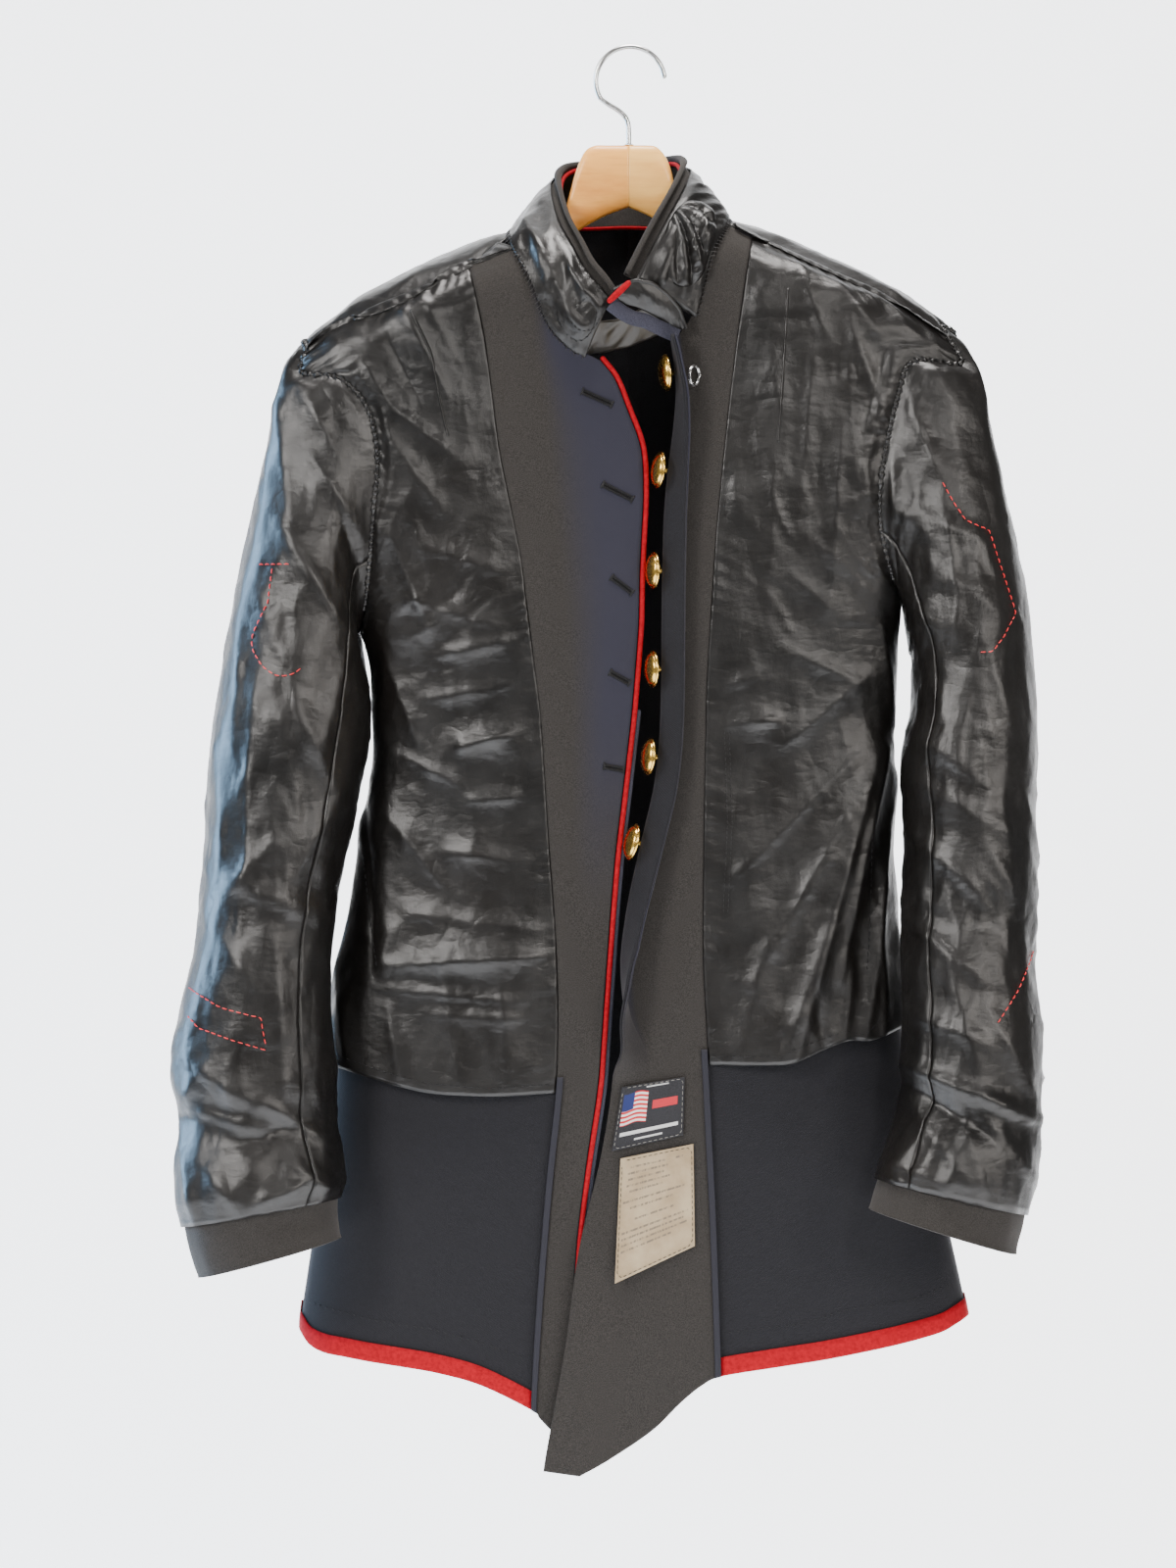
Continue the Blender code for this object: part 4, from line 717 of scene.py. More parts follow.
def fold_height(points, folds, only=1.0, sharp=False):
    """Height of all folds at each point: a ridge along each line, fading at its ends.

    Soft ones fall off as exp(-d^2), sharp ones as exp(-d) with a crest 1 mm wide, for a distance
    d from the line in half widths.
    """
    height = np.zeros(points.shape[:2])
    flat = points[..., [0, 2]]
    for x0, z0, x1, z1, half_width, high in folds:
        start = np.array([x0, z0]) * MM
        run = np.array([x1, z1]) * MM - start
        share = np.sum((flat - start) * run, -1) / np.dot(run, run)
        near = np.clip(share, 0, 1)
        gap = np.linalg.norm(flat - start - near[..., None] * run, axis=-1)
        taper = 0.55 + 0.45 * np.sin(math.pi * near)
        if sharp:
            fall = (np.sqrt(gap ** 2 + MM ** 2) - MM) / (0.75 * half_width * MM)
        else:
            fall = (gap / (half_width * MM)) ** 2
        height += high * MM * taper * np.exp(-fall)
    return height * only


def lattice_noise(u, v, seed):
    """Smooth noise from -1 to 1: seeded heights on a square lattice, blended between corners."""
    table = np.random.default_rng(seed).uniform(-1, 1, (97, 97))
    i, j = np.floor(u).astype(int), np.floor(v).astype(int)
    f, g = u - i, v - j
    f, g = f * f * (3 - 2 * f), g * g * (3 - 2 * g)
    corner = [[table[(i + a) % 97, (j + b) % 97] for b in (0, 1)] for a in (0, 1)]
    low = corner[0][0] * (1 - g) + corner[0][1] * g
    high = corner[1][0] * (1 - g) + corner[1][1] * g
    return low * (1 - f) + high * f


def crumple(across, down, seed, size=34 * MM, stretch=1.7):
    """Creased relief from -1 to 1: sharp ridges between soft hollows, longer down the cloth.

    Each octave is one minus twice the size of the noise, bent by a wider noise.
    """
    u, v = across / size, down / (size * stretch)
    bend = lattice_noise(u * 0.6 + 3, v * 0.6 + 5, seed + 9)
    total, weight = 0.0, 1.0
    for octave in range(3):
        turned_u = u * 0.86 + v * 0.5 + 0.7 * bend + 11 * octave
        turned_v = v * 0.86 - u * 0.5 + 0.7 * bend + 7 * octave
        total = total + weight * (1 - 2.6 * np.abs(lattice_noise(turned_u, turned_v, seed + octave)))
        u, v, weight = u * 2.1, v * 2.1, weight * 0.45
    return total / 1.65


def puckers(away, run, wave, high, reach, seed=1):
    """Gathers along a seam: waves square to it that fade with the distance from the seam."""
    uneven = lattice_noise(run / (wave * 2.7), np.zeros_like(run) + seed, seed)
    phase = 2 * math.pi * run / wave + 2.4 * uneven
    strength = 0.55 + 0.45 * lattice_noise(run / (wave * 4.1), np.ones_like(run) * 3, seed + 5)
    return high * strength * (0.5 + 0.5 * np.sin(phase)) ** 1.5 * np.exp(-away / reach)


def grid_faces(rows, columns, wrap=False):
    """Four-sided faces between a grid's rows and columns."""
    index = np.arange(rows * columns).reshape(rows, columns)
    if wrap:
        index = np.concatenate([index, index[:, :1]], axis=1)
    return np.stack([index[:-1, :-1], index[1:, :-1], index[1:, 1:], index[:-1, 1:]], -1).reshape(-1, 4)


def put_mesh(name, points, faces, look, uv=None, shade=None, slot=None):
    """Makes a mesh piece from whole arrays; uv and shade hold one row for each point. shade goes into the
    Shade attribute, a painted sheen mask.
    """
    mesh = bpy.data.meshes.new(name)
    mesh.from_pydata(points.reshape(-1, 3).tolist(), [], faces if isinstance(faces, list) else faces.tolist())
    mesh.shade_smooth()
    corner = np.zeros(len(mesh.loops), dtype=np.int32)
    mesh.loops.foreach_get("vertex_index", corner)
    if uv is not None:
        layer = mesh.uv_layers.new(name="Cloth")
        layer.data.foreach_set("uv", np.ascontiguousarray(uv.reshape(-1, 2)[corner], np.float32).ravel())
    if shade is not None:
        attribute = mesh.attributes.new("Shade", "FLOAT", "POINT")
        attribute.data.foreach_set("value", np.ascontiguousarray(shade, np.float32).ravel())
    mesh.materials.append(look)
    obj = bpy.data.objects.new(name, mesh)
    bpy.context.scene.collection.objects.link(obj)
    return obj


def cloth(name, points, thickness, look, node=None, slot=None, shade=None, wrap=False):
    """Thin cloth with the grid in its middle, and a UV map in metres along the cloth."""
    uv = np.stack([lengths(points, 1), lengths(points, 0)], axis=-1)
    faces = grid_faces(*points.shape[:2], wrap)
    obj = put_mesh(name, points, faces, look, uv, shade, slot)
    solid = obj.modifiers.new("Cloth thickness", "SOLIDIFY")
    solid.thickness = thickness
    solid.offset = 0.0
    return seat(obj, node)


def seat(obj, node=None):
    """Fixes a piece to the coat's one body and, where it stands for a solid, hides that solid."""
    if node:
        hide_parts(*([node] if isinstance(node, str) else node))
    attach(obj, "root")
    return obj


def declare(points):
    """Works out a cloth piece's cut: its greatest width and length along the cloth, and its area. Nothing is
    done with them.
    """
    width = max(float(lengths(points, 1)[:, -1].max()), 10 * MM)
    length = float(lengths(points, 0)[-1].max())
    across, down = points[:, 1:] - points[:, :-1], points[1:] - points[:-1]
    cells = np.linalg.norm(np.cross(across[:-1], down[:, :-1]), axis=-1)
    area = min(float(cells.sum()), width * length)
    area = max(area, 0.31 * width * length)


def tube(name, path, radius, look, sides=10, up=(0, 1, 0), node=None, slot=None):
    """Round cord: a ring carried along the path, square to it, with a half ball at each end."""
    path = np.asarray(path, float)
    ahead = unit(np.gradient(path, axis=0))
    radii = np.broadcast_to(np.asarray(radius, float), len(path))
    cap = np.linspace(0, math.pi / 2 - 0.12, 4)[1:]
    first = path[0] - ahead[0] * (radii[0] * np.sin(cap))[::-1, None]
    last = path[-1] + ahead[-1] * (radii[-1] * np.sin(cap))[:, None]
    path = np.concatenate([first, path, last])
    ahead = np.concatenate([np.repeat(ahead[:1], 3, 0), ahead, np.repeat(ahead[-1:], 3, 0)])
    radii = np.concatenate([(radii[0] * np.cos(cap))[::-1], radii, radii[-1] * np.cos(cap)])
    side = unit(np.cross(ahead, np.asarray(up, float)))
    lift = np.cross(side, ahead)
    turn = np.linspace(0, 2 * math.pi, sides, endpoint=False)
    ring = np.cos(turn)[None, :, None] * side[:, None] + np.sin(turn)[None, :, None] * lift[:, None]
    points = path[:, None] + ring * radii[:, None, None]
    uv = np.stack(np.broadcast_arrays(turn[None] * radii[:, None], lengths(points, 0)[:, :1]), axis=-1)
    faces = grid_faces(len(path), sides, wrap=True)[:, ::-1].tolist()
    total = len(path) * sides
    faces += [list(range(sides)), list(range(total - sides, total))[::-1]]
    return seat(put_mesh(name, points, faces, look, np.ascontiguousarray(uv), slot=slot), node)


def resample(path, step_length):
    """The same path with even steps."""
    total = np.linalg.norm(np.diff(path, axis=0), axis=1).sum()
    return along(path, np.linspace(0, 1, max(int(total / step_length), 2) + 1))


def stitches(name, path, outward, look, long=3.2 * MM, gap=1.6 * MM, slant=0.0, thread=THREAD):
    """Thread stitches in a row: each is a low arch of a square tube from one hole to the next.

    slant turns each stitch off the seam's line, in degrees, as in whip stitching.
    """
    path, outward = np.asarray(path, float), unit(np.asarray(outward, float))
    run = np.r_[0, np.cumsum(np.linalg.norm(np.diff(path, axis=0), axis=1))]
    pitch = long * max(math.cos(math.radians(slant)), 0.35) + gap
    middle = np.arange(pitch / 2, run[-1], pitch)
    share = np.linspace(-0.5, 0.5, 4)
    at = middle[:, None] + share[None] * long * math.cos(math.radians(slant))
    spot, out = (np.stack([np.interp(at, run, data[:, k]) for k in range(3)], -1)
                 for data in (path, outward))
    ahead = np.stack([np.interp(middle, run, unit(np.gradient(path, axis=0))[:, k]) for k in range(3)], -1)
    ahead = unit(ahead)[:, None]
    out = unit(out)
    side = unit(np.cross(ahead, out))
    slide = share[None, :, None] * long * math.sin(math.radians(slant))
    arch = (1 - (2 * share) ** 2)[None, :, None] * thread * 1.3
    spot = spot + side * slide + out * arch
    along_thread = unit(ahead * math.cos(math.radians(slant)) + side * math.sin(math.radians(slant)))
    edge = np.cross(along_thread, out)
    turn = np.linspace(0, 2 * math.pi, 4, endpoint=False) + math.pi / 4
    width = thread * np.array([0.6, 1, 1, 0.6])[None, :, None, None]
    ring = (np.cos(turn)[None, None, :, None] * edge[:, :, None]
            + np.sin(turn)[None, None, :, None] * out[:, :, None]) * width
    points = spot[:, :, None] + ring
    one = grid_faces(4, 4, wrap=True)[:, ::-1]
    one = np.concatenate([one, [[0, 1, 2, 3]], [[15, 14, 13, 12]]])
    faces = (one[None] + 16 * np.arange(len(middle))[:, None, None]).reshape(-1, 4)
    return seat(put_mesh(name, points, faces, look))


def onto(sheet, x, z, lift):
    """Points and normals over a cloth at the given front-view places, in millimetres.

    Each place takes the four nearest points of the cloth that face the viewer, by nearness.
    """
    points, normals = (grid.reshape(-1, 3) for grid in sheet)
    ahead = normals[:, 1] < 0.05
    points, normals = points[ahead], normals[ahead]
    spot = np.stack([np.ravel(x), np.ravel(z)], -1) * MM
    gap = np.linalg.norm(spot[:, None] - points[None][..., [0, 2]], axis=-1)
    near = np.argpartition(gap, 4, axis=1)[:, :4]
    share = 1 / (np.take_along_axis(gap, near, 1) + 0.2 * MM) ** 2
    share /= share.sum(axis=1, keepdims=True)
    y = np.sum(points[near][..., 1] * share, axis=1)
    out = unit(np.sum(normals[near] * share[..., None], axis=1))
    found = np.stack([spot[:, 0], y, spot[:, 1]], -1) + out * lift
    return found.reshape(*np.shape(x), 3), out.reshape(*np.shape(x), 3)


def front_line(rows, step_length=1.0):
    """Even places, in millimetres, along a line drawn through x, z rows."""
    path = resample(np.array(rows, float), step_length)
    return path[:, 0], path[:, 1]


def add_node(tree, kind, inputs=None, **settings):
    """New shader node; each input, by name or number, is a value or another node's output."""
    made = tree.nodes.new("ShaderNode" + kind)
    for field, value in settings.items():
        setattr(made, field, value)
    for socket, value in (inputs or {}).items():
        if hasattr(value, "is_linked"):
            tree.links.new(value, made.inputs[socket])
        else:
            made.inputs[socket].default_value = value
    return made


def new_look(name, roughness, metallic=0.0, level=0.5, sheen=0.0, sheen_rough=0.4, coat=0.0):
    """New material with its node tree and its main shader."""
    made = bpy.data.materials.new(name)
    made.use_nodes = True
    shader = made.node_tree.nodes["Principled BSDF"]
    for socket, value in (("Roughness", roughness), ("Metallic", metallic), ("Specular IOR Level", level),
                          ("Sheen Weight", sheen), ("Sheen Roughness", sheen_rough),
                          ("Coat Weight", coat), ("Coat Roughness", 0.15)):
        shader.inputs[socket].default_value = value
    return made, made.node_tree, shader


def noise(tree, scale, detail=4.0, stretch=(1, 1, 1), roughness=0.55, turn=(0, 0, 0)):
    """Noise on the cloth's own place, drawn out along chosen axes."""
    place = add_node(tree, "TexCoord").outputs["Object"]
    spot = add_node(tree, "Mapping", {"Vector": place, "Scale": stretch,
                                      "Rotation": [math.radians(v) for v in turn]}).outputs[0]
    return add_node(tree, "TexNoise", {"Vector": spot, "Scale": scale, "Detail": detail,
                                       "Roughness": roughness}).outputs["Fac"]


def weave(tree, threads, angle=0.0):
    """Lines of thread on the cloth's UV map, which is in metres: so many threads a metre."""
    place = add_node(tree, "UVMap").outputs["UV"]
    spot = add_node(tree, "Mapping", {"Vector": place, "Rotation": (0, 0, math.radians(angle))}).outputs[0]
    return add_node(tree, "TexWave", {"Vector": spot, "Scale": threads * 2 * math.pi / 20,
                                      "Distortion": 0.6}).outputs["Fac"]


def ranged(tree, value, low, high, start=0.3, end=0.7):
    """Value carried from one range to another, and held at its ends."""
    return add_node(tree, "MapRange", {"Value": value, "From Min": start, "From Max": end,
                                       "To Min": low, "To Max": high}).outputs["Result"]


def mixed(tree, share, first, second):
    """Colour between two others, each a colour or another node's output."""
    first, second = (v if hasattr(v, "is_linked") else (*v, 1.0) for v in (first, second))
    return add_node(tree, "Mix", {"Factor": share, 6: first, 7: second}, data_type="RGBA").outputs[2]


def sums(tree, operation, *values):
    """One step of arithmetic on numbers or outputs."""
    return add_node(tree, "Math", dict(enumerate(values)), operation=operation).outputs[0]


def bumps(tree, shader, layers):
    """Relief from several heights in turn: each has a strength and a depth in metres."""
    normal = None
    for height, strength, depth in layers:
        inputs = {"Strength": strength, "Distance": depth, "Height": height}
        if normal is not None:
            inputs["Normal"] = normal
        normal = add_node(tree, "Bump", inputs).outputs["Normal"]
    tree.links.new(normal, shader.inputs["Normal"])


def creased(tree, cloudy):
    """Sharp valleys along the middle value of a noise: |2 v - 1|."""
    return sums(tree, "ABSOLUTE", sums(tree, "MULTIPLY_ADD", cloudy, 2.0, -1.0))


def satin_look(name, dark, light):
    """Lining satin: near black with a soft gloss, sharp small creases and fine long threads.

    A crease lies where a cloudy noise crosses its middle: height = |2 noise - 1|.
    """
    made, tree, shader = new_look(name, 0.42, level=0.5)
    colour = mixed(tree, ranged(tree, noise(tree, 9, 3), 0, 1), dark, light)
    tree.links.new(colour, shader.inputs["Base Color"])
    tree.links.new(ranged(tree, noise(tree, 40, 3), 0.28, 0.40), shader.inputs["Roughness"])
    bumps(tree, shader, ((creased(tree, noise(tree, 15, 3, (1.0, 1.0, 0.55), 0.5, (0, 28, 0))), 0.42, 0.005),
                         (creased(tree, noise(tree, 26, 3, (1.0, 1.0, 1.9), 0.5, (0, -20, 0))), 0.34, 0.0022),
                         (noise(tree, 70, 4, (1.4, 1.4, 0.8), 0.5, (0, 24, 0)), 0.30, 0.0013),
                         (noise(tree, 900, 2, (1, 1, 2.5)), 0.25, 0.0003),
                         (weave(tree, 2200), 0.12, 0.0002)))
    return made


def wool_look(name, dark, light, painted_sheen_colour=None, sheen_colour=(0.5, 0.55, 0.7)):
    """Uniform wool: matt, with a fine slanted twill, soft nap and a little lint. Where a sheen colour is
    given, it is painted sheen, mixed in by the piece's Shade mask.
    """
    made, tree, shader = new_look(name, 0.88, level=0.25, sheen=0.10, sheen_rough=0.5)
    shader.inputs["Sheen Tint"].default_value = (*sheen_colour, 1.0)
    colour = mixed(tree, ranged(tree, noise(tree, 1500, 2), 0, 1, 0.35, 0.65), dark, light)
    # Painted sheen: the Shade attribute mixes in a slate-blue colour where the wool turns to the light.
    if painted_sheen_colour is not None:
        shade = add_node(tree, "Attribute", attribute_name="Shade").outputs["Fac"]
        colour = mixed(tree, shade, colour, painted_sheen_colour)
    tree.links.new(colour, shader.inputs["Base Color"])
    bumps(tree, shader, ((noise(tree, 30, 3), 0.25, 0.002), (weave(tree, 900, 52), 0.25, 0.0003),
                         (noise(tree, 1100, 3), 0.35, 0.0003)))
    return made


def scarlet_look():
    """Scarlet wool trim: matt, with a soft red nap."""
    made, tree, shader = new_look("Scarlet_trim", 0.8, level=0.15, sheen=0.15)
    shader.inputs["Sheen Tint"].default_value = (1.0, 0.1, 0.1, 1.0)
    flecks = ranged(tree, noise(tree, 420, 3), 0, 1)
    tree.links.new(mixed(tree, flecks, (0.22, 0.0002, 0.004), (0.36, 0.0004, 0.009)),
                   shader.inputs["Base Color"])
    bumps(tree, shader, ((noise(tree, 160, 3), 0.3, 0.0008), (noise(tree, 1300, 2), 0.5, 0.0003)))
    return made


def metal_look(name, colour, worn, roughness):
    """Bright metal with faint wear in its colour and gloss."""
    made, tree, shader = new_look(name, roughness, metallic=1.0)
    tree.links.new(mixed(tree, ranged(tree, noise(tree, 220, 4), 0, 1, 0.4, 0.75), colour, worn),
                   shader.inputs["Base Color"])
    tree.links.new(ranged(tree, noise(tree, 500, 3), roughness * 0.7, roughness * 1.6),
                   shader.inputs["Roughness"])
    bumps(tree, shader, ((noise(tree, 260, 3), 0.12, 0.0004),))
    return made


def wood_look(name, pale, deep):
    """Varnished wood: long grain drawn out along the arm, fine pores and growth bands."""
    made, tree, shader = new_look(name, 0.42, level=0.5, coat=0.25)
    bands = noise(tree, 26, 5, (0.55, 2.2, 2.6), 0.6, (0, 26, 0))
    pores = noise(tree, 260, 3, (0.12, 1, 1.3), 0.6, (0, 26, 0))
    colour = mixed(tree, ranged(tree, bands, 0, 1, 0.36, 0.66), pale, deep)
    colour = mixed(tree, ranged(tree, pores, 0, 0.45, 0.52, 0.75), colour, deep)
    tree.links.new(colour, shader.inputs["Base Color"])
    tree.links.new(ranged(tree, bands, 0.36, 0.5), shader.inputs["Roughness"])
    bumps(tree, shader, ((pores, 0.15, 0.0004),))
    return made


def between(tree, value, low, high):
    """One inside a range and nought outside it."""
    above, below = sums(tree, "GREATER_THAN", value, low), sums(tree, "LESS_THAN", value, high)
    return sums(tree, "MULTIPLY", above, below)


def label_axes(tree):
    """Across and up the label, each from 0 to 1."""
    place = add_node(tree, "UVMap").outputs["UV"]
    parts = add_node(tree, "SeparateXYZ", {0: place})
    return parts.outputs["X"], parts.outputs["Y"]


def woven_label_look():
    """Black woven label with a small striped flag and plain woven bars."""
    made, tree, shader = new_look("Black_woven_label", 0.7, level=0.3, sheen=0.2)
    u, v = label_axes(tree)
    wave = sums(tree, "MULTIPLY", sums(tree, "SINE", sums(tree, "MULTIPLY", u, 16.0)), 0.018)
    level = sums(tree, "ADD", v, wave)
    flag = sums(tree, "MULTIPLY", between(tree, u, 0.06, 0.44), between(tree, level, 0.38, 0.88))
    canton = sums(tree, "MULTIPLY", between(tree, u, 0.06, 0.23), between(tree, level, 0.61, 0.88))
    stripe = sums(tree, "LESS_THAN", sums(tree, "FRACT", sums(tree, "MULTIPLY", level, 14.0)), 0.5)
    colour = mixed(tree, ranged(tree, noise(tree, 1500, 2), 0, 1), (0.008, 0.008, 0.010), (0.02, 0.02, 0.024))
    stripes = mixed(tree, stripe, (0.62, 0.60, 0.58), (0.45, 0.012, 0.02))
    stripes = mixed(tree, canton, stripes, (0.012, 0.02, 0.10))
    colour = mixed(tree, flag, colour, stripes)
    pale, red = (0.5, 0.5, 0.5), (0.42, 0.02, 0.03)
    for low, high, start, end, ink in ((0.20, 0.26, 0.08, 0.92, pale), (0.10, 0.13, 0.3, 0.7, pale),
                                       (0.56, 0.70, 0.52, 0.90, red), (0.93, 0.95, 0.4, 0.75, pale)):
        bar = sums(tree, "MULTIPLY", between(tree, v, low, high), between(tree, u, start, end))
        colour = mixed(tree, bar, colour, ink)
    tree.links.new(colour, shader.inputs["Base Color"])
    bumps(tree, shader, ((noise(tree, 1400, 2), 0.5, 0.0003),))
    return made


def care_label_look():
    """Tan label tape with plain ruled lines where a real one is printed."""
    made, tree, shader = new_look("Tan_care_label", 0.62, level=0.35)
    u, v = label_axes(tree)
    tone = mixed(tree, ranged(tree, noise(tree, 60, 4), 0, 1), (0.26, 0.19, 0.11), (0.38, 0.30, 0.19))
    ink = None
    for low, start, end in RULED_LINES:
        bar = sums(tree, "MULTIPLY", between(tree, v, low, low + 0.018), between(tree, u, start, end))
        ink = bar if ink is None else sums(tree, "MAXIMUM", ink, bar)
    broken = ranged(tree, noise(tree, 700, 1, (1, 1, 0.2)), 0.15, 0.75, 0.42, 0.56)
    tree.links.new(mixed(tree, sums(tree, "MULTIPLY", ink, broken), tone, (0.09, 0.07, 0.06)),
                   shader.inputs["Base Color"])
    bumps(tree, shader, ((noise(tree, 900, 2), 0.3, 0.0003), (noise(tree, 45, 3), 0.4, 0.001)))
    return made


def plain_look(name, colour, roughness):
    """Thread or tape of one colour, a little uneven."""
    made, tree, shader = new_look(name, roughness, level=0.3)
    darker = tuple(v * 0.6 for v in colour)
    tree.links.new(mixed(tree, noise(tree, 900, 2), darker, colour), shader.inputs["Base Color"])
    bumps(tree, shader, ((noise(tree, 900, 2), 0.3, 0.0002),))
    return made


def all_looks():
    """Every material of the scene by a short name."""
    return {
        "satin": satin_look("Lining_satin", (0.0018, 0.0016, 0.0015), (0.0056, 0.0046, 0.0040)),
        # Paler, warmer copy of the lining satin: painted light on the collar's under tab.
        "tab_satin_painted_light": satin_look("Tab_satin_painted_light", (0.012, 0.010, 0.008), (0.035, 0.028, 0.020)),
        "navy_wool": wool_look("Navy_wool", (0.005, 0.005, 0.0065), (0.011, 0.011, 0.014),
                               sheen_colour=(0.6, 0.58, 0.62)),
        # The facing's third colour is painted sheen: a slate-blue tone laid on by the Shade mask.
        "facing_wool": wool_look("Facing_wool", (0.013, 0.0115, 0.0105), (0.030, 0.027, 0.0245),
                                 (0.018, 0.018, 0.029), sheen_colour=(0.62, 0.58, 0.56)),
        # Paler, bluer wool; on the front edge it stands in for navy wool as painted sheen.
        "slate_wool": wool_look("Slate_wool", (0.020, 0.020, 0.031), (0.042, 0.042, 0.060)),
        "scarlet": scarlet_look(),
        "seam_tape": plain_look("Bound_seam_tape", (0.014, 0.014, 0.022), 0.7),
        "dark_thread": plain_look("Dark_thread", (0.006, 0.006, 0.007), 0.5),
        "grey_thread": plain_look("Grey_thread", (0.030, 0.028, 0.028), 0.5),
        "pale_thread": plain_look("Pale_thread", (0.25, 0.24, 0.22), 0.6),
        "red_thread": plain_look("Red_thread", (0.80, 0.03, 0.035), 0.5),
        # Near-black colour of the buttonholes' cord: painted shade in their openings.
        "slit_painted_shade": plain_look("Buttonhole_slit", (0.002, 0.002, 0.002), 0.9),
        "gilt": metal_look("Gilt_metal", (0.86, 0.56, 0.13), (0.70, 0.40, 0.08), 0.2),
        "steel": metal_look("Bright_steel", (0.72, 0.72, 0.72), (0.56, 0.56, 0.55), 0.2),
        "left_wood": wood_look("Left_arm_wood", (0.92, 0.43, 0.085), (0.70, 0.25, 0.03)),
        "right_wood": wood_look("Right_arm_wood", (0.96, 0.54, 0.14), (0.80, 0.37, 0.07)),
        "woven_label": woven_label_look(),
        "care_label": care_label_look(),
    }


def eased(rise, floor=-0.4 * MM):
    """Keeps a cloth clear of the layer under it, with a soft turn where it would sink."""
    return np.where(rise > floor, rise, floor + 0.15 * (rise - floor))


def uneven_reach(across, down, seed):
    """How far from its seams the satin is held flat: 5 to 19 mm, changing along the seam."""
    return (12 + 7 * lattice_noise(across / (31 * MM), down / (31 * MM), seed)) * MM


def front_lining(side, points, normals, looks):
    """Satin front: eased off the wool, with creases, crumple, and gathers along its seams."""
    name = SIDE_NAMES[side]
    part, out = points[:LINING_ROW + 1, :SEAM_COLUMN + 1], normals[:LINING_ROW + 1, :SEAM_COLUMN + 1]
    down, across = lengths(part, 0), lengths(part, 1)
    inner = across[:, -1:] - across
    slack = uneven_reach(across, down, 50 + side)
    held = step(across, 0, slack) * step(inner, -2 * MM, 3 * slack) * step(down, 0, slack)
    folds, creases = (LEFT_FOLDS, LEFT_CREASES) if side < 0 else (RIGHT_FOLDS, RIGHT_CREASES)
    rise = LINING_EASE + 0.55 * fold_height(part, folds) + fold_height(part, creases, 1, True)
    rise = (rise + 1.15 * MM * crumple(across, down, 20 + side)) * held
    armhole = 1 - step(down, down[UNDERARM_ROW, 0] - 10 * MM, down[UNDERARM_ROW, 0] + 10 * MM)
    rise += puckers(across, down, 7.5 * MM, 3.2 * MM, 12 * MM, 3) * armhole * step(across, 0, 3 * MM)
    rise += puckers(inner, down, 10 * MM, 1.6 * MM, 9 * MM, 4) * step(inner, 0, 2 * MM)
    rise += puckers(down, across, 10 * MM, 1.2 * MM, 9 * MM, 6) * step(down, 0, 2 * MM)
    below = np.linspace(0, 1, LINING_ROW + 1)[:, None]
    free = 1 - (across / across[:, -1:]) ** 4
    wave = 0.75 + 0.25 * np.sin(9 * across / across[:, -1:] + 1)
    rise = eased(rise) + HEM_SWING * step(below, 0.72, 1.0) * free * wave
    shaped = moved(part, out, LAYER_STEP + rise)
    piece = cloth(f"front_lining_{name}_satin", shaped, SATIN_THICK, looks["satin"],
                  f"front_lining_{name}", "lining_satin")
    declare(part)
    return shaped, out


def front_wool(side, points, normals, looks):
    """Wool front and its facing, one layer apart, with the bound edge and the hem tape on them."""
    name = SIDE_NAMES[side]
    shell = cloth(f"front_wool_{name}", points[::2, ::2], WOOL_THICK, looks["navy_wool"],
                  f"front_shell_{name}", "navy_wool")
    declare(points[::2, ::2])
    above, out = moved(points, normals, LAYER_STEP), normals
    facing_points = above[:, SEAM_COLUMN:]
    run = lengths(facing_points, 1)
    # shade is a painted sheen mask. On the left it covers the facing from 30 to 75 % of the way to the front
    # edge. On the right it covers the band's last 22 to 26 mm. Both fade out below 0.45 to 0.72 m down.
    if side < 0:
        shade = step(run / run[:, -1:], 0.30, 0.75) * (1 - step(-facing_points[..., 2], 0.45, 0.62))
    else:
        shade = step(run, run[:, -1:] - 26 * MM, run[:, -1:] - 22 * MM)
        shade = shade * (1 - step(-facing_points[..., 2], 0.60, 0.72))
    facing = cloth(f"front_facing_{name}_wool", facing_points, WOOL_THICK,
                   looks["facing_wool"], f"front_facing_{name}", "facing_wool", shade)
    declare(facing_points)
    tape = moved(points[TAPE_ROW:, :SEAM_COLUMN + 1], out[TAPE_ROW:, :SEAM_COLUMN + 1],
                 LAYER_STEP - 0.3 * MM)
    piece = cloth(f"hem_tape_front_{name}_scarlet", tape, TAPE_THICK, looks["scarlet"],
                  f"hem_tape_front_{name}", "scarlet_cloth")
    declare(tape)
    top = moved(points[LINING_ROW - 4:, SEAM_COLUMN:SEAM_COLUMN + 6],
                out[LINING_ROW - 4:, SEAM_COLUMN:SEAM_COLUMN + 6], TRIM_STEP)
    across = unit(top[:, 1] - top[:, 0])[:, None]
    width = np.linspace(0, 1, 7)[None, :, None]
    ridge_line = 0.35 * MM * np.abs(np.cos(width * 2 * math.pi)) * out[LINING_ROW - 4:, SEAM_COLUMN][:, None]
    strip = top[:, :1] + SEAM_TAPE_WIDTH * width * across + ridge_line
    piece = cloth(f"seam_tape_{name}_bound", strip, TAPE_THICK, looks["seam_tape"],
                  f"seam_tape_{name}", "seam_tape")
    declare(strip)
    return above[:, SEAM_COLUMN:], out[:, SEAM_COLUMN:]


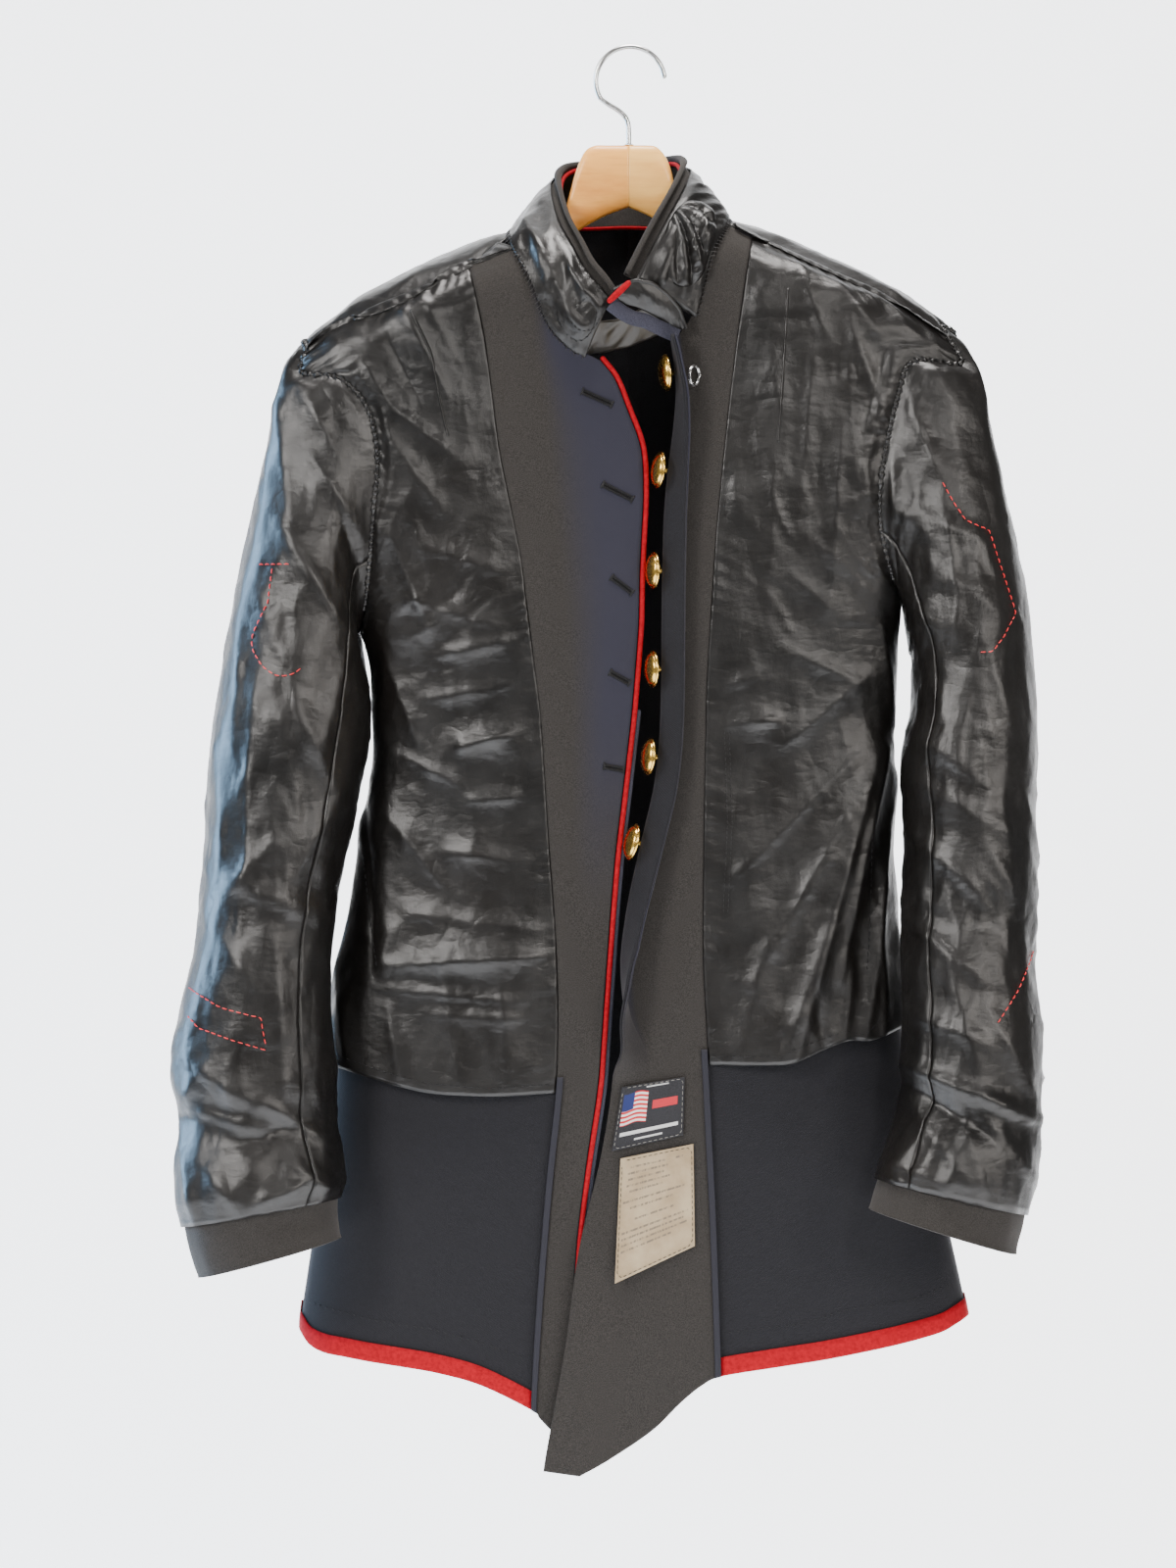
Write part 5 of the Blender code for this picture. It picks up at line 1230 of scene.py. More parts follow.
def back_wool_and_lining(side, points, normals, looks):
    """Back wool, satin with its centre pleat, and the hem tape."""
    name = SIDE_NAMES[side]
    shell = cloth(f"back_wool_{name}", points[::2, ::2], WOOL_THICK, looks["navy_wool"],
                  f"back_shell_{name}", "navy_wool")
    declare(points[::2, ::2])
    last = BACK_LINING_ROW
    part, out = points[:last + 1], normals[:last + 1]
    down, across = lengths(part, 0), lengths(part, 1)
    middle = across[:, -1:] - across
    slack = uneven_reach(across, down, 70 + side)
    held = step(np.minimum(across, middle), 0, slack) * step(down, 0, slack)
    rise = LINING_EASE + 0.8 * fold_height(part, BACK_FOLDS) + fold_height(part, BACK_CREASES, 1, True)
    rise = (rise + 1.2 * MM * crumple(across, down, 40 + side)) * held
    armhole = 1 - step(down, down[BACK_UNDERARM_ROW, 0] - 10 * MM, down[BACK_UNDERARM_ROW, 0] + 10 * MM)
    rise += puckers(across, down, 7.5 * MM, 2.8 * MM, 12 * MM, 13) * armhole * step(across, 0, 3 * MM)
    rise += puckers(down, across, 10 * MM, 1.2 * MM, 9 * MM, 16) * step(down, 0, 2 * MM)
    width, high = CENTRE_PLEAT
    pleat = high * np.exp(-(part[..., 0] / width) ** 2) * step(-part[..., 2], 0.15, 0.2)
    below = np.linspace(0, 1, last + 1)[:, None]
    swing = HEM_SWING * 0.8 * step(below, 0.8, 1.0) * step(across, 0, 30 * MM)
    shaped = moved(part, out, LAYER_STEP + eased(rise) + pleat + swing)
    piece = cloth(f"back_lining_{name}_satin", shaped, SATIN_THICK, looks["satin"],
                  f"back_lining_{name}", "lining_satin")
    declare(part)
    tape = moved(points[-5:], normals[-5:], LAYER_STEP - 0.3 * MM)
    piece = cloth(f"hem_tape_back_{name}_scarlet", tape, TAPE_THICK, looks["scarlet"],
                  f"hem_tape_back_{name}", "scarlet_cloth")
    declare(tape)
    return shaped, out


def armhole_rim(front, back):
    """The armhole's coarse points at the lining's level: down the front, then up the back."""
    ahead, behind = (moved(points[:ARMHOLE_ROWS + 1, 0], normals[:ARMHOLE_ROWS + 1, 0], LAYER_STEP)
                     for points, normals in (front, back))
    return np.concatenate([ahead, behind[-2:0:-1]])


def sleeve_surface(side, rim, shares):
    """Sleeve points on rings: an oval on each row of the table, which starts as the armhole."""
    rows = LEFT_RINGS if side < 0 else RIGHT_RINGS
    at = np.asarray(shares) * (len(rows) - 1)
    value = [np.interp(at, np.arange(len(rows)), column(rows, k)) for k in range(7)]
    outer_x, outer_z, inner_x, inner_z, middle_y, half_depth = (v[:, None] * MM for v in value[:6])
    turn = np.arccos(1 - 2 * armhole_shares())
    angle = np.concatenate([turn, 2 * math.pi - turn[-2:0:-1]])[None]

    def oval(ox, oz, ix, iz, y, deep):
        x = (ox + ix) / 2 + np.cos(angle) * (ox - ix) / 2
        z = (oz + iz) / 2 + np.cos(angle) * (oz - iz) / 2
        return np.stack(np.broadcast_arrays(x, y - deep * np.sin(angle), z), -1)

    rings = oval(outer_x, outer_z, inner_x, inner_z, middle_y, half_depth)
    first = oval(*(np.full((1, 1), rows[0][k] * MM) for k in range(6)))
    rings = rings + (rim - first) * value[6][:, None, None]
    creases = LEFT_SLEEVE_CREASES if side < 0 else RIGHT_SLEEVE_CREASES
    change = np.zeros(rings.shape[:2])
    for z, half_width, high, facing in creases:
        level = np.exp(-((rings[..., 2] - z * MM) / (half_width * MM)) ** 2)
        change += high * MM * level * (0.5 + 0.5 * np.cos(angle - math.radians(facing)))
    return rings + unit(rings - rings.mean(axis=1, keepdims=True)) * change[..., None]


def sleeve(side, rim, looks):
    """Satin sleeve in its two cut pieces, creased at the elbow and cuff, and the wool cuff in it."""
    name = SIDE_NAMES[side]
    total = len(LEFT_RINGS) - 1
    end = LINING_END_RING / total
    shares = np.concatenate([np.linspace(0, 3, 6)[:-1] / total,
                             np.linspace(3 / total, end, SLEEVE_ROWS - 4)])
    rings = sleeve_surface(side, rim, shares)
    rows_at = np.arange(SLEEVE_ROWS * SLEEVE_STEPS + 1) / SLEEVE_STEPS
    count = rings.shape[1] * SLEEVE_STEPS
    points = finer(rings, rows_at, np.arange(count) / SLEEVE_STEPS, wrap=True)
    spoke = unit(points - points.mean(axis=1, keepdims=True))
    down = lengths(points, 0).mean(axis=1, keepdims=True)
    around = np.concatenate([points, points[:, :1]], axis=1)
    around = lengths(around, 1)[:, :-1]
    around = around / around.max() * 0.36
    left = down[-1:] - down
    held = step(down, 0, 16 * MM) * step(left, -2 * MM, 14 * MM)
    creases = LEFT_ARM_CREASES if side < 0 else RIGHT_ARM_CREASES
    ahead = step(-spoke[..., 1], -0.35, 0.25)
    mirrored = points * np.array([-1, 1, 1]) + np.array([side * 2 * SLEEVE_MIDDLE, 0, 0])
    rise = fold_height(points, creases, ahead, True) + fold_height(mirrored, creases, 1 - ahead, True)
    turn = 2 * math.pi * np.arange(count) / count
    ring_run = np.stack([np.cos(turn), np.sin(turn)], -1)[None] * 60 * MM
    noise = (crumple(ring_run[..., 0] + 0.2, down + ring_run[..., 1], 60 + side, 30 * MM)
             + 0.5 * crumple(ring_run[..., 1] + 0.5, down * 1.3 - ring_run[..., 0], 80 + side, 16 * MM))
    rise = (rise + 1.25 * MM * noise + 1.0 * MM) * held
    rise += puckers(down, around, 6.5 * MM, 2.8 * MM, 13 * MM, 23) * step(down, 0, 3 * MM)
    rise += puckers(left, around, 14 * MM, 1.2 * MM, 12 * MM, 24)
    points = points + spoke * np.maximum(rise, -4 * MM)[..., None]
    low = (ARMHOLE_ROWS - SLEEVE_SEAM_COLUMNS) * SLEEVE_STEPS
    high = (ARMHOLE_ROWS + SLEEVE_SEAM_COLUMNS) * SLEEVE_STEPS
    order = np.arange(high, low + count + 1) % count
    pieces = (("under", points[:, low:high + 1]), ("top", points[:, order]))
    for part, grid in pieces:
        piece = cloth(f"sleeve_{part}_{name}_satin", grid, SATIN_THICK,
                      looks["satin"], f"sleeve_{part}_{name}", "lining_satin")
        declare(finer(grid[::7, ::7], np.arange(grid.shape[0] // 7), np.arange(grid.shape[1] // 7)))
    cuff(side, rim, end, total, looks)
    return points, spoke


def cuff(side, rim, end, total, looks):
    """Wool cuff: the sleeve's last rings set in, with a rolled edge of exp(-d / 2.2 mm)."""
    name = SIDE_NAMES[side]
    shares = np.linspace(end - 0.5 / total, 1, CUFF_ROWS + 1)
    rings = sleeve_surface(side, rim, shares)
    count = rings.shape[1] * SLEEVE_STEPS
    points = finer(rings, np.linspace(0, CUFF_ROWS, 31), np.arange(count) / SLEEVE_STEPS, wrap=True)
    spoke = unit(points - points.mean(axis=1, keepdims=True))
    closed = np.concatenate([points, points[:, :1]], axis=1)
    around, down = lengths(closed, 1)[:, :-1], lengths(points, 0)
    left = down[-1:] - down
    rise = 0.8 * MM * crumple(around + 0.3, down, 90 + side, 40 * MM) * step(left, 0, 20 * MM)
    rise += 0.9 * MM * np.exp(-left / (2.2 * MM)) - CUFF_INSET
    points = points + spoke * rise[..., None]
    piece = cloth(f"cuff_{name}_wool", points, WOOL_THICK, looks["facing_wool"], f"cuff_{name}",
                  "facing_wool", wrap=True)
    declare(np.concatenate([points, points[:, :1]], axis=1))


def collar_surface(around, up):
    """Point of the collar: around from its left end to its right end, up from base to top.

    Smooth lines through the table give base and top. Between them the cloth is straight, and
    bulges out by the sine of pi times up.
    """
    x, z = column(COLLAR, 0) * MM, column(COLLAR, 1) * MM
    base = coat_point(x, column(COLLAR, 2) * arc_of(ridge(x) - z))
    top = np.stack([column(COLLAR, k) * MM for k in (3, 4, 5)], axis=-1)
    middle = (base + top) / 2
    outward = middle - middle.mean(axis=0)
    outward[:, 2] = 0
    outward = unit(outward)
    around, up = np.broadcast_arrays(np.asarray(around, float), np.asarray(up, float))
    shares = spread_weights(len(COLLAR), around.ravel() * (len(COLLAR) - 1))
    low, high, out = ((shares @ data).reshape(*around.shape, 3) for data in (base, top, outward))
    up = up[..., None]
    return low + (high - low) * up + unit(out) * COLLAR_BULGE * np.sin(math.pi * up)


def collar(looks):
    """Wool stand rolled over at its top, the satin on its outer side, and the scarlet inside."""
    steps = len(COLLAR) - 1
    around = np.linspace(0, 1, 9 * steps + 1)
    up = np.linspace(-0.05, 1, 27)
    body = collar_surface(around[None], up[:, None])
    normals = normals_of(body, (0, 0, -0.15))
    rise, out = unit(body[-1] - body[-2]), unit(normals[-1])
    turn = np.radians(np.linspace(12, 205, 12))[:, None, None]
    roll = body[-1] + COLLAR_ROLL * (out * (1 - np.cos(turn)) + rise * np.sin(turn))
    piece = cloth("collar_stand_wool", np.concatenate([body, roll]), WOOL_THICK,
                  looks["facing_wool"], "collar_stand", "facing_wool")
    declare(np.concatenate([body, roll]))
    part, out = body[:24], normals[:24]
    across, down = lengths(part, 1), lengths(part, 0)
    top = down[-1:] - down
    held = step(np.minimum(down, top), 0, 9 * MM)
    held = held * step(np.minimum(across, across[:, -1:] - across), 0, 8 * MM)
    ahead = (part[..., 1] < -8 * MM) * 1.0
    height = (1.2 * MM + 1.5 * fold_height(part, COLLAR_CREASES, ahead, True)
              + 1.5 * MM * crumple(across, down, 7, 19 * MM, 1.4)) * held
    height += 1.3 * MM * (1 - step(down, 3 * MM, 9 * MM))
    height += puckers(down, across, 6 * MM, 1.3 * MM, 7 * MM, 31)
    height += puckers(top, across, 7 * MM, 0.8 * MM, 6 * MM, 32)
    shaped = moved(part, out, LAYER_STEP + eased(height, -0.2 * MM))
    piece = cloth("collar_lining_satin", shaped, SATIN_THICK, looks["satin"],
                  "collar_lining", "lining_satin")
    declare(part)
    span = (around > 3 / steps) & (around < 15 / steps)
    edge = moved(body[-1, span], normals[-1, span], -LAYER_STEP)
    tube("collar_piping_scarlet", edge - (0, 0, 1.5 * MM), 1.5 * MM, looks["scarlet"], up=(0, 0, 1),
         node="collar_piping", slot="scarlet_cloth")
    seam = (around > 7.5 / steps) & (around < 13.5 / steps)
    line = moved(body[0, seam], normals[0, seam], -2.2 * MM)
    tube("neck_piping_scarlet", line - (0, 0, 1 * MM), 1.3 * MM, looks["scarlet"], up=(0, 0, 1),
         slot="scarlet_cloth")
    collar_ends(looks)
    under_tab(body, normals, looks)
    collar_knot((shaped, out), looks)
    return shaped, out


def disc_grid(count):
    """Square grid drawn into a disc, both running from -1 to 1."""
    u, v = np.meshgrid(np.linspace(-1, 1, count), np.linspace(-1, 1, count))
    return u * np.sqrt(1 - v * v / 2), v * np.sqrt(1 - u * u / 2)


def collar_ends(looks):
    """Rounded flap on the left end and bunched satin on the right end of the collar."""
    u, v = disc_grid(40)
    points = collar_surface(0.068 + 0.056 * u, 0.40 + 0.30 * v)
    normals = normals_of(points, (0, 0.05, -0.15))
    edge = np.clip(1 - (u * u + v * v), 0, 1)
    height = TRIM_STEP + 0.5 * MM + 1.6 * MM * edge ** 0.5
    height = height + 0.8 * MM * crumple(u * 15 * MM, v * 15 * MM, 5, 9 * MM) * edge
    shaped = moved(points, normals, height)
    piece = cloth("collar_end_flap_satin", shaped, SATIN_THICK, looks["satin"], "collar_end_flap",
                  "lining_satin")
    declare(points)
    rim = np.concatenate([shaped[0, :-1], shaped[:-1, -1], shaped[-1, :0:-1], shaped[:0:-1, 0]])
    out = np.concatenate([normals[0, :-1], normals[:-1, -1], normals[-1, :0:-1], normals[:0:-1, 0]])
    stitches("collar_flap_sewing", rim + out * 0.5 * MM, out, looks["dark_thread"], 3 * MM, 1.2 * MM, 40)
    u, v = disc_grid(64)
    points = collar_surface(0.912 + 0.068 * u, 0.42 + 0.40 * v)
    normals = normals_of(points, (0, 0.05, -0.15))
    edge = np.clip(1 - (u * u + v * v), 0, 1)
    spoke = np.arctan2(u + 0.25, 1.25 - v)
    pleats = np.abs(np.cos(8.5 * spoke + 1.1 + 0.7 * np.sin(3.1 * v + u)))
    creased = 0.30 * crumple(u * 20 * MM, v * 20 * MM, 8, 10 * MM)
    full = 0.45 + 0.55 * (0.5 - 0.5 * v)
    height = TRIM_STEP + 0.6 * MM + 9.5 * MM * edge ** 0.5 * full * (0.25 + 0.75 * pleats + creased)
    shaped = moved(points, normals, height)
    piece = cloth("collar_bunched_end_satin", shaped, SATIN_THICK, looks["satin"],
                  "collar_bunched_end", "lining_satin")
    declare(shaped)


def collar_knot(collar_cloth, looks):
    """What lies between the collar's ends: a folded rim of satin over a slate band and a scarlet end.

    Each follows a line over the collar; the fold is a sheet bulging between two such lines.
    """
    def over(rows, lift, step_length=0.6):
        x, z = front_line(rows, step_length)
        path, out = onto(collar_cloth, x, z, lift)
        knots = max(len(path) // 9, 2)
        at = np.linspace(0, len(path) - 1, knots).astype(int)
        return smoothed(path[at], len(path)), unit(smoothed(out[at], len(path)))

    upper, out = over(FOLD_RIM, 8 * MM)
    tube("collar_fold_rim", upper, 1.25 * MM, looks["satin"], 12, up=(0, 0, 1))
    lower, _ = over(FOLD_FOOT, 4.5 * MM, 0.5)
    shares = np.linspace(0, 1, len(upper))
    lower = spread_weights(len(lower), shares * (len(lower) - 1)) @ lower
    down = np.linspace(0, 1, 24)[:, None, None]
    sheet = upper[None] * (1 - down) + lower[None] * down
    bulge = np.sin(math.pi * down) * (0.4 + 0.6 * np.sin(math.pi * shares))[None, :, None]
    wave = crumple(lengths(sheet, 1), lengths(sheet, 0), 15, 9 * MM)[..., None]
    sheet = sheet + np.array([0, -1, 0]) * (2.2 * MM * bulge + 0.7 * MM * wave * bulge)
    piece = cloth("collar_fold_satin", sheet, SATIN_THICK, looks["satin"])
    declare(sheet)
    band, _ = over(KNOT_BAND, 5.5 * MM)
    across = np.linspace(-1, 1, 15)[None, :, None]
    square = unit(np.cross(unit(np.gradient(band, axis=0)), (0, -1, 0)))[:, None]
    hump = 1.8 * MM * np.sqrt(np.clip(1 - across ** 2, 0, 1))
    strip = band[:, None] + square * across * 4.6 * MM + np.array([0, -1, 0]) * hump
    piece = cloth("collar_hook_band", strip, WOOL_THICK, looks["slate_wool"])
    declare(strip)
    tip, _ = over(SCARLET_END, 8.5 * MM)
    width = (1.9 + 0.5 * np.sin(np.linspace(0, math.pi, len(tip)))) * MM
    tube("collar_scarlet_end", tip, width, looks["scarlet"], 12, up=(0, -1, 0))


def under_tab(body, normals, looks):
    """Satin tab that bridges the collar's ends behind them, sagging between them. Its satin is a paler,
    warmer copy of the lining satin: painted light.
    """
    rows = slice(0, 15)
    left = moved(body[rows, 0], normals[rows, 0], -LAYER_STEP)
    right = moved(body[rows, -1], normals[rows, -1], -LAYER_STEP)
    inward = moved(body[rows, 9], normals[rows, 9], -LAYER_STEP)
    share = np.linspace(-0.5, 0.9, 44)[None, :, None]
    sag = np.array([0, 5 * MM, -4 * MM]) * np.sin(math.pi * np.clip(share / 0.9, 0, 1))
    run = np.where(share < 0, -share * (inward - left)[:, None], share * (right - left)[:, None])
    points = left[:, None] + run + sag
    out = normals_of(points, (0, 0.05, -0.2))
    wave = 0.8 * MM * crumple(lengths(points, 1), lengths(points, 0), 12, 12 * MM)
    shaped = moved(points, out, wave * step(np.abs(share[..., 0] + 0.5), 0, 0.2))
    piece = cloth("collar_under_tab_satin", shaped, SATIN_THICK, looks["tab_satin_painted_light"],
                  "collar_under_tab", "lining_satin")
    declare(points)


def front_edge(points, normals, looks):
    """Scarlet piping along the left front's edge, with the wool's own edge just outside it. That edge is navy
    wool drawn in the paler, bluer slate wool: painted sheen.
    """
    edge = moved(points[:, -1], normals[:, -1], LAYER_STEP / 2)
    across = np.cross(unit(np.gradient(edge, axis=0)), normals[:, -1])
    across = unit(across * np.sign(across[:, :1]))
    line = resample(edge + across * (PIPING_RADIUS + 2 * SEAM_GAP), 2 * MM)
    tube("front_piping_scarlet", line, PIPING_RADIUS, looks["scarlet"], 12, node="front_piping",
         slot="scarlet_cloth")
    # The navy wool edge takes the slate wool's paler, bluer colour: painted sheen where it turns to the
    # light.
    low = points[:, -1, 2] < -0.46
    wool = (moved(points[low, -1], normals[low, -1], -0.8 * MM)
            + across[low] * (2 * PIPING_RADIUS + 1.6 * MM))
    tube("front_edge_wool", resample(wool, 2 * MM), 1.5 * MM, looks["slate_wool"], 10,
         slot="navy_wool")


def turned(name, profile, steps, look, frame_axes, node=None, slot=None):
    """Turned piece: its profile of radius and height is carried round the axis."""
    radius, height = (np.array([row[k] for row in profile]) * MM for k in (0, 1))
    turn = np.linspace(0, 2 * math.pi, steps, endpoint=False)
    flat = np.stack(np.broadcast_arrays(radius[:, None] * np.cos(turn), radius[:, None] * np.sin(turn),
                                        height[:, None]), -1)
    level, upright, axis, foot = frame_axes
    points = foot + flat @ np.stack([level, upright, axis])
    faces = grid_faces(len(profile), steps, wrap=True).tolist()
    faces += [list(range(steps))[::-1], list(range((len(profile) - 1) * steps, len(profile) * steps))]
    return seat(put_mesh(name, points, [face[::-1] for face in faces], look, slot=slot), node)


def buttons(points, normals, looks):
    """Gilt domed buttons on the curled band: a dome in a raised rim, a hollowed back, a shank."""
    fold, before, outward = points[:, EDGE_COLUMN], points[:, EDGE_COLUMN - 1], normals[:, EDGE_COLUMN]
    across = fold_direction(fold, fold - before, outward)
    order = np.argsort(fold[:, 2])
    r = BUTTON_RADIUS / MM
    turn = np.linspace(0, math.pi / 2, 14)
    dome = [(max(0.88 * r * math.sin(t), 0.05), 6.6 + 4.0 * math.cos(t)) for t in turn]
    rim = [(0.90 * r, 6.3), (0.93 * r, 6.35), (0.97 * r, 6.5), (0.995 * r, 6.1), (r, 5.5),
           (0.985 * r, 4.9), (0.94 * r, 4.6), (0.80 * r, 4.3), (0.55 * r, 4.1), (2.4, 4.0), (2.2, 3.4),
           (2.2, 0.6), (1.8, 0.1), (0.05, 0.0)]
    for number, height in enumerate(BUTTON_HEIGHTS, 1):
        z = height * MM
        spot, out, sideways = (
            np.array([np.interp(z, fold[order, 2], data[order, k]) for k in range(3)])
            for data in (fold, outward, across))
        out, sideways = unit(out), unit(sideways)
        angle = min(float(curl_angle(z)), math.radians(BUTTON_ANGLE))
        foot = band_point(spot, sideways, out, angle, ROLL_FLAT)
        axis = sideways * math.sin(angle) - out * math.cos(angle)
        foot = foot + axis * (WOOL_THICK / 2 + 2 * SEAM_GAP)
        level = unit(np.cross((0.0, 0.0, 1.0), axis))
        turned(f"button_{number}_gilt", dome + rim, 56, looks["gilt"],
               (level, np.cross(axis, level), axis, foot), f"button_{number}", "gilt_metal")


def split_ring(facing, looks):
    """Split ring: two turns of wire side by side, flat against the band and turned edge on."""
    spot, _ = onto(facing, *(np.array([v]) for v in RING_PLACE), 0)
    tilt = math.radians(62)
    reach = RING_RADIUS * math.sin(tilt) + RING_WIRE + WOOL_THICK / 2 + SEAM_GAP
    turn = np.linspace(0, 4 * math.pi - 0.3, 97)
    radius = RING_RADIUS - 0.15 * MM * turn / (4 * math.pi)
    side = 1.6 * MM * (turn / (4 * math.pi) - 0.5)
    x = radius * np.cos(turn) * math.cos(tilt) - side * math.sin(tilt)
    y = radius * np.cos(turn) * math.sin(tilt) + side * math.cos(tilt)
    path = np.stack([x, y, radius * np.sin(turn)], -1) + spot[0] + (2 * MM, -reach, 0)
    tube("split_ring_wire", path, RING_WIRE, looks["steel"], 8, up=(math.sin(tilt), -math.cos(tilt), 0),
         node="split_ring", slot="bright_steel")


def label(name, corners, facing, look, curl):
    """Sewn label on the right facing: a grid between its four corners, curled at one."""
    top_left, top_right, low_right, low_left = (np.array(c, float) for c in corners)
    even = np.linspace(0, 1, LABEL_POINTS)
    u, v = np.meshgrid(even, even)
    a, b = u[..., None], v[..., None]
    flat = (top_left * (1 - a) + top_right * a) * (1 - b) + (low_left * (1 - a) + low_right * a) * b
    points, _ = onto(facing, flat[..., 0], flat[..., 1], TRIM_STEP - LAYER_STEP)
    points = finer(points[::8, ::8], 5 * even, 5 * even)
    ripple = 0.35 * MM * crumple(u * 50 * MM, v * 60 * MM, 17, 22 * MM)
    points[..., 1] -= LABEL_CLEAR + curl * (1 - u) ** 2 * v ** 2 + np.abs(ripple)
    faces = grid_faces(LABEL_POINTS, LABEL_POINTS)
    uv = np.stack([u, 1 - v], -1)
    piece = put_mesh(name + "_tape", points, faces, look, uv, slot=name)
    solid = piece.modifiers.new("Cloth thickness", "SOLIDIFY")
    solid.thickness, solid.offset = TAPE_THICK * 0.6, 0.0
    seat(piece, name)
    declare(points)
    near, far = 1, LABEL_POINTS - 2
    places = np.arange(near + 2, far - 1)
    border = np.concatenate([points[near, places], points[places, far], points[far, places[::-1]],
                             points[places[::-1], near]])
    line = resample(border, 1 * MM) - (0, 0.45 * MM, 0)
    thread = looks["dark_thread"] if curl else looks["pale_thread"]
    stitches(name + "_tape_sewing", line, np.zeros_like(line) - (0, 1, 0), thread, 2.4 * MM, 1.4 * MM)


def wood_sections(side):
    """Sections of one hanger half: x, top, bottom and half thickness, out to the arm's tip."""
    rows = np.array(LEFT_WOOD if side < 0 else RIGHT_WOOD, float) * MM
    start = 80 * MM if side < 0 else 67 * MM
    x = np.linspace(start, ARM_TIP, 8)
    share = (x - start) / (ARM_TIP - start)
    top = ridge(side * x) - WOOL_THICK / 2 - ARM_CLEAR - NECK_CLEAR * (1 - share) ** 5
    height = ARM_HEIGHT * (1 - 0.25 * share)
    thick = ARM_THICK[0] + (ARM_THICK[1] - ARM_THICK[0]) * share
    arm = np.stack([x, top, top - height, thick], axis=-1)
    return np.concatenate([rows, arm])


def wood(side, looks):
    """Hanger half: rounded sections lofted from the middle joint to the arm's rounded tip."""
    name = SIDE_NAMES[side]
    rows = wood_sections(side)
    fine = smoothed(rows, 12 * (len(rows) - 1) + 1)
    tip = np.sin(np.linspace(0, 1, 9)[1:] * math.pi / 2)
    last = fine[-1]
    middle = (last[1] + last[2]) / 2
    shrink = np.sqrt(np.clip(1 - tip ** 2, 0.003, 1))
    cap = np.stack([last[0] + 5 * MM * tip, middle + (last[1] - middle) * shrink,
                    middle - (middle - last[2]) * shrink, last[3] * shrink], -1)
    fine = np.concatenate([fine, cap])
    turn = np.linspace(0, 2 * math.pi, 48, endpoint=False)[None]
    x, top, low, thick = (fine[:, k:k + 1] for k in range(4))
    power = 2 / (3.2 - 1.1 * step(x, 42 * MM, 58 * MM))
    y = thick * np.sign(np.cos(turn)) * np.abs(np.cos(turn)) ** power
    y = y - HANGER_BEND * (x / HALF_SHOULDER) ** 2
    z = (top + low) / 2 + (top - low) / 2 * np.sign(np.sin(turn)) * np.abs(np.sin(turn)) ** power
    points = np.stack(np.broadcast_arrays(side * x, y, z), -1)
    faces = grid_faces(len(fine), 48, wrap=True)
    count = len(fine) * 48
    ends = [list(range(48)), list(range(count - 48, count))[::-1]]
    faces = faces[:, ::-1].tolist() + ends
    if side > 0:
        faces = [face[::-1] for face in faces]
    seat(put_mesh(f"hanger_{name}_wood", points, faces, looks[f"{name}_wood"], slot="hanger_wood"),
         f"hanger_{name}")


def hook(looks):
    """Hook wire: three quarters of a circle, then an S bend into the straight stem."""
    centre = np.array(HOOK_CENTRE)
    angles = np.radians(np.linspace(8, 212, 60))
    circle = centre + HOOK_RADIUS * np.stack([np.cos(angles), np.sin(angles)], axis=-1)
    bend = np.array([(-14, -38.5), (-7, -42.8), (-2.2, -47.5), (-0.3, -53), (0, -60), (0, -66.6)]) * MM
    bend = np.concatenate([circle[-1:], bend])
    bend = smoothed(bend, 60)[1:]
    flat = np.concatenate([circle, bend])
    path = resample(np.stack([flat[:, 0], np.zeros(len(flat)), flat[:, 1]], axis=-1), 1.2 * MM)
    tube("hook_wire", path, HOOK_WIRE, looks["steel"], 16, node="hook", slot="bright_steel")
    ring = [(1.9, 0.1), (3.3, 0.1), (3.6, 0.5), (3.3, 0.9), (1.9, 0.9)]
    turned("hook_collar", ring[::-1], 24, looks["steel"],
           (*np.eye(3), np.array([0, 0, HOOK_FOOT])), slot="bright_steel")


def buttonhole(number, ends, facing, looks):
    """Worked buttonhole: close threads round a narrow cut, and a bar across each end. The cut is a near-black
    cord on the cloth: painted shade in the opening.
    """
    x0, z0, x1, z1 = ends
    start, run = np.array([x0, z0], float), np.array([x1 - x0, z1 - z0], float)
    long = np.linalg.norm(run)
    ahead = run / long
    side = np.array([-ahead[1], ahead[0]])
    half = 1.3
    turn = np.linspace(0, math.pi, 9)
    straight = np.linspace(0, long, 24)[:, None]
    upper = start + ahead * straight + side * half
    far = start + run + half * (np.cos(turn)[:, None] * side + np.sin(turn)[:, None] * ahead)
    lower = start + ahead * straight[::-1] - side * half
    near = start - half * (np.cos(turn)[:, None] * side + np.sin(turn)[:, None] * ahead)
    loop = resample(np.concatenate([upper, far, lower, near]), 0.5)
    path, out = onto(facing, loop[:, 0], loop[:, 1], 1.0 * MM)
    stitches(f"buttonhole_{number}_thread", path, out, looks["dark_thread"], 1.7 * MM, 0.1 * MM,
             84, 0.36 * MM)
    # Painted shade: a near-black cord stands for the dark of the opening.
    place = start + ahead * np.linspace(-0.6, long + 0.6, 20)[:, None]
    middle, _ = onto(facing, place[:, 0], place[:, 1], 0.85 * MM)
    tube(f"buttonhole_{number}_slit", middle, 0.55 * MM, looks["slit_painted_shade"], 6)
    for end, spot in enumerate((start - ahead * 1.4, start + run + ahead * 1.4), 1):
        place = spot + side * np.linspace(-2.3, 2.3, 6)[:, None]
        bar, _ = onto(facing, place[:, 0], place[:, 1], 1.1 * MM)
        tube(f"buttonhole_{number}_bar_{end}", bar, 0.6 * MM, looks["dark_thread"], 6)


def sewn_line(name, rows, sheet, look, long=3.2 * MM, gap=1.6 * MM, slant=0.0, lift=0.75 * MM,
              thread=THREAD):
    """Stitches along a line seen from the front, laid on a cloth and evened out."""
    x, z = front_line(rows)
    path, out = onto(sheet, x, z, lift)
    path = smoothed(path[::6], len(path))
    return stitches(name, path, out, look, long, gap, slant, thread)


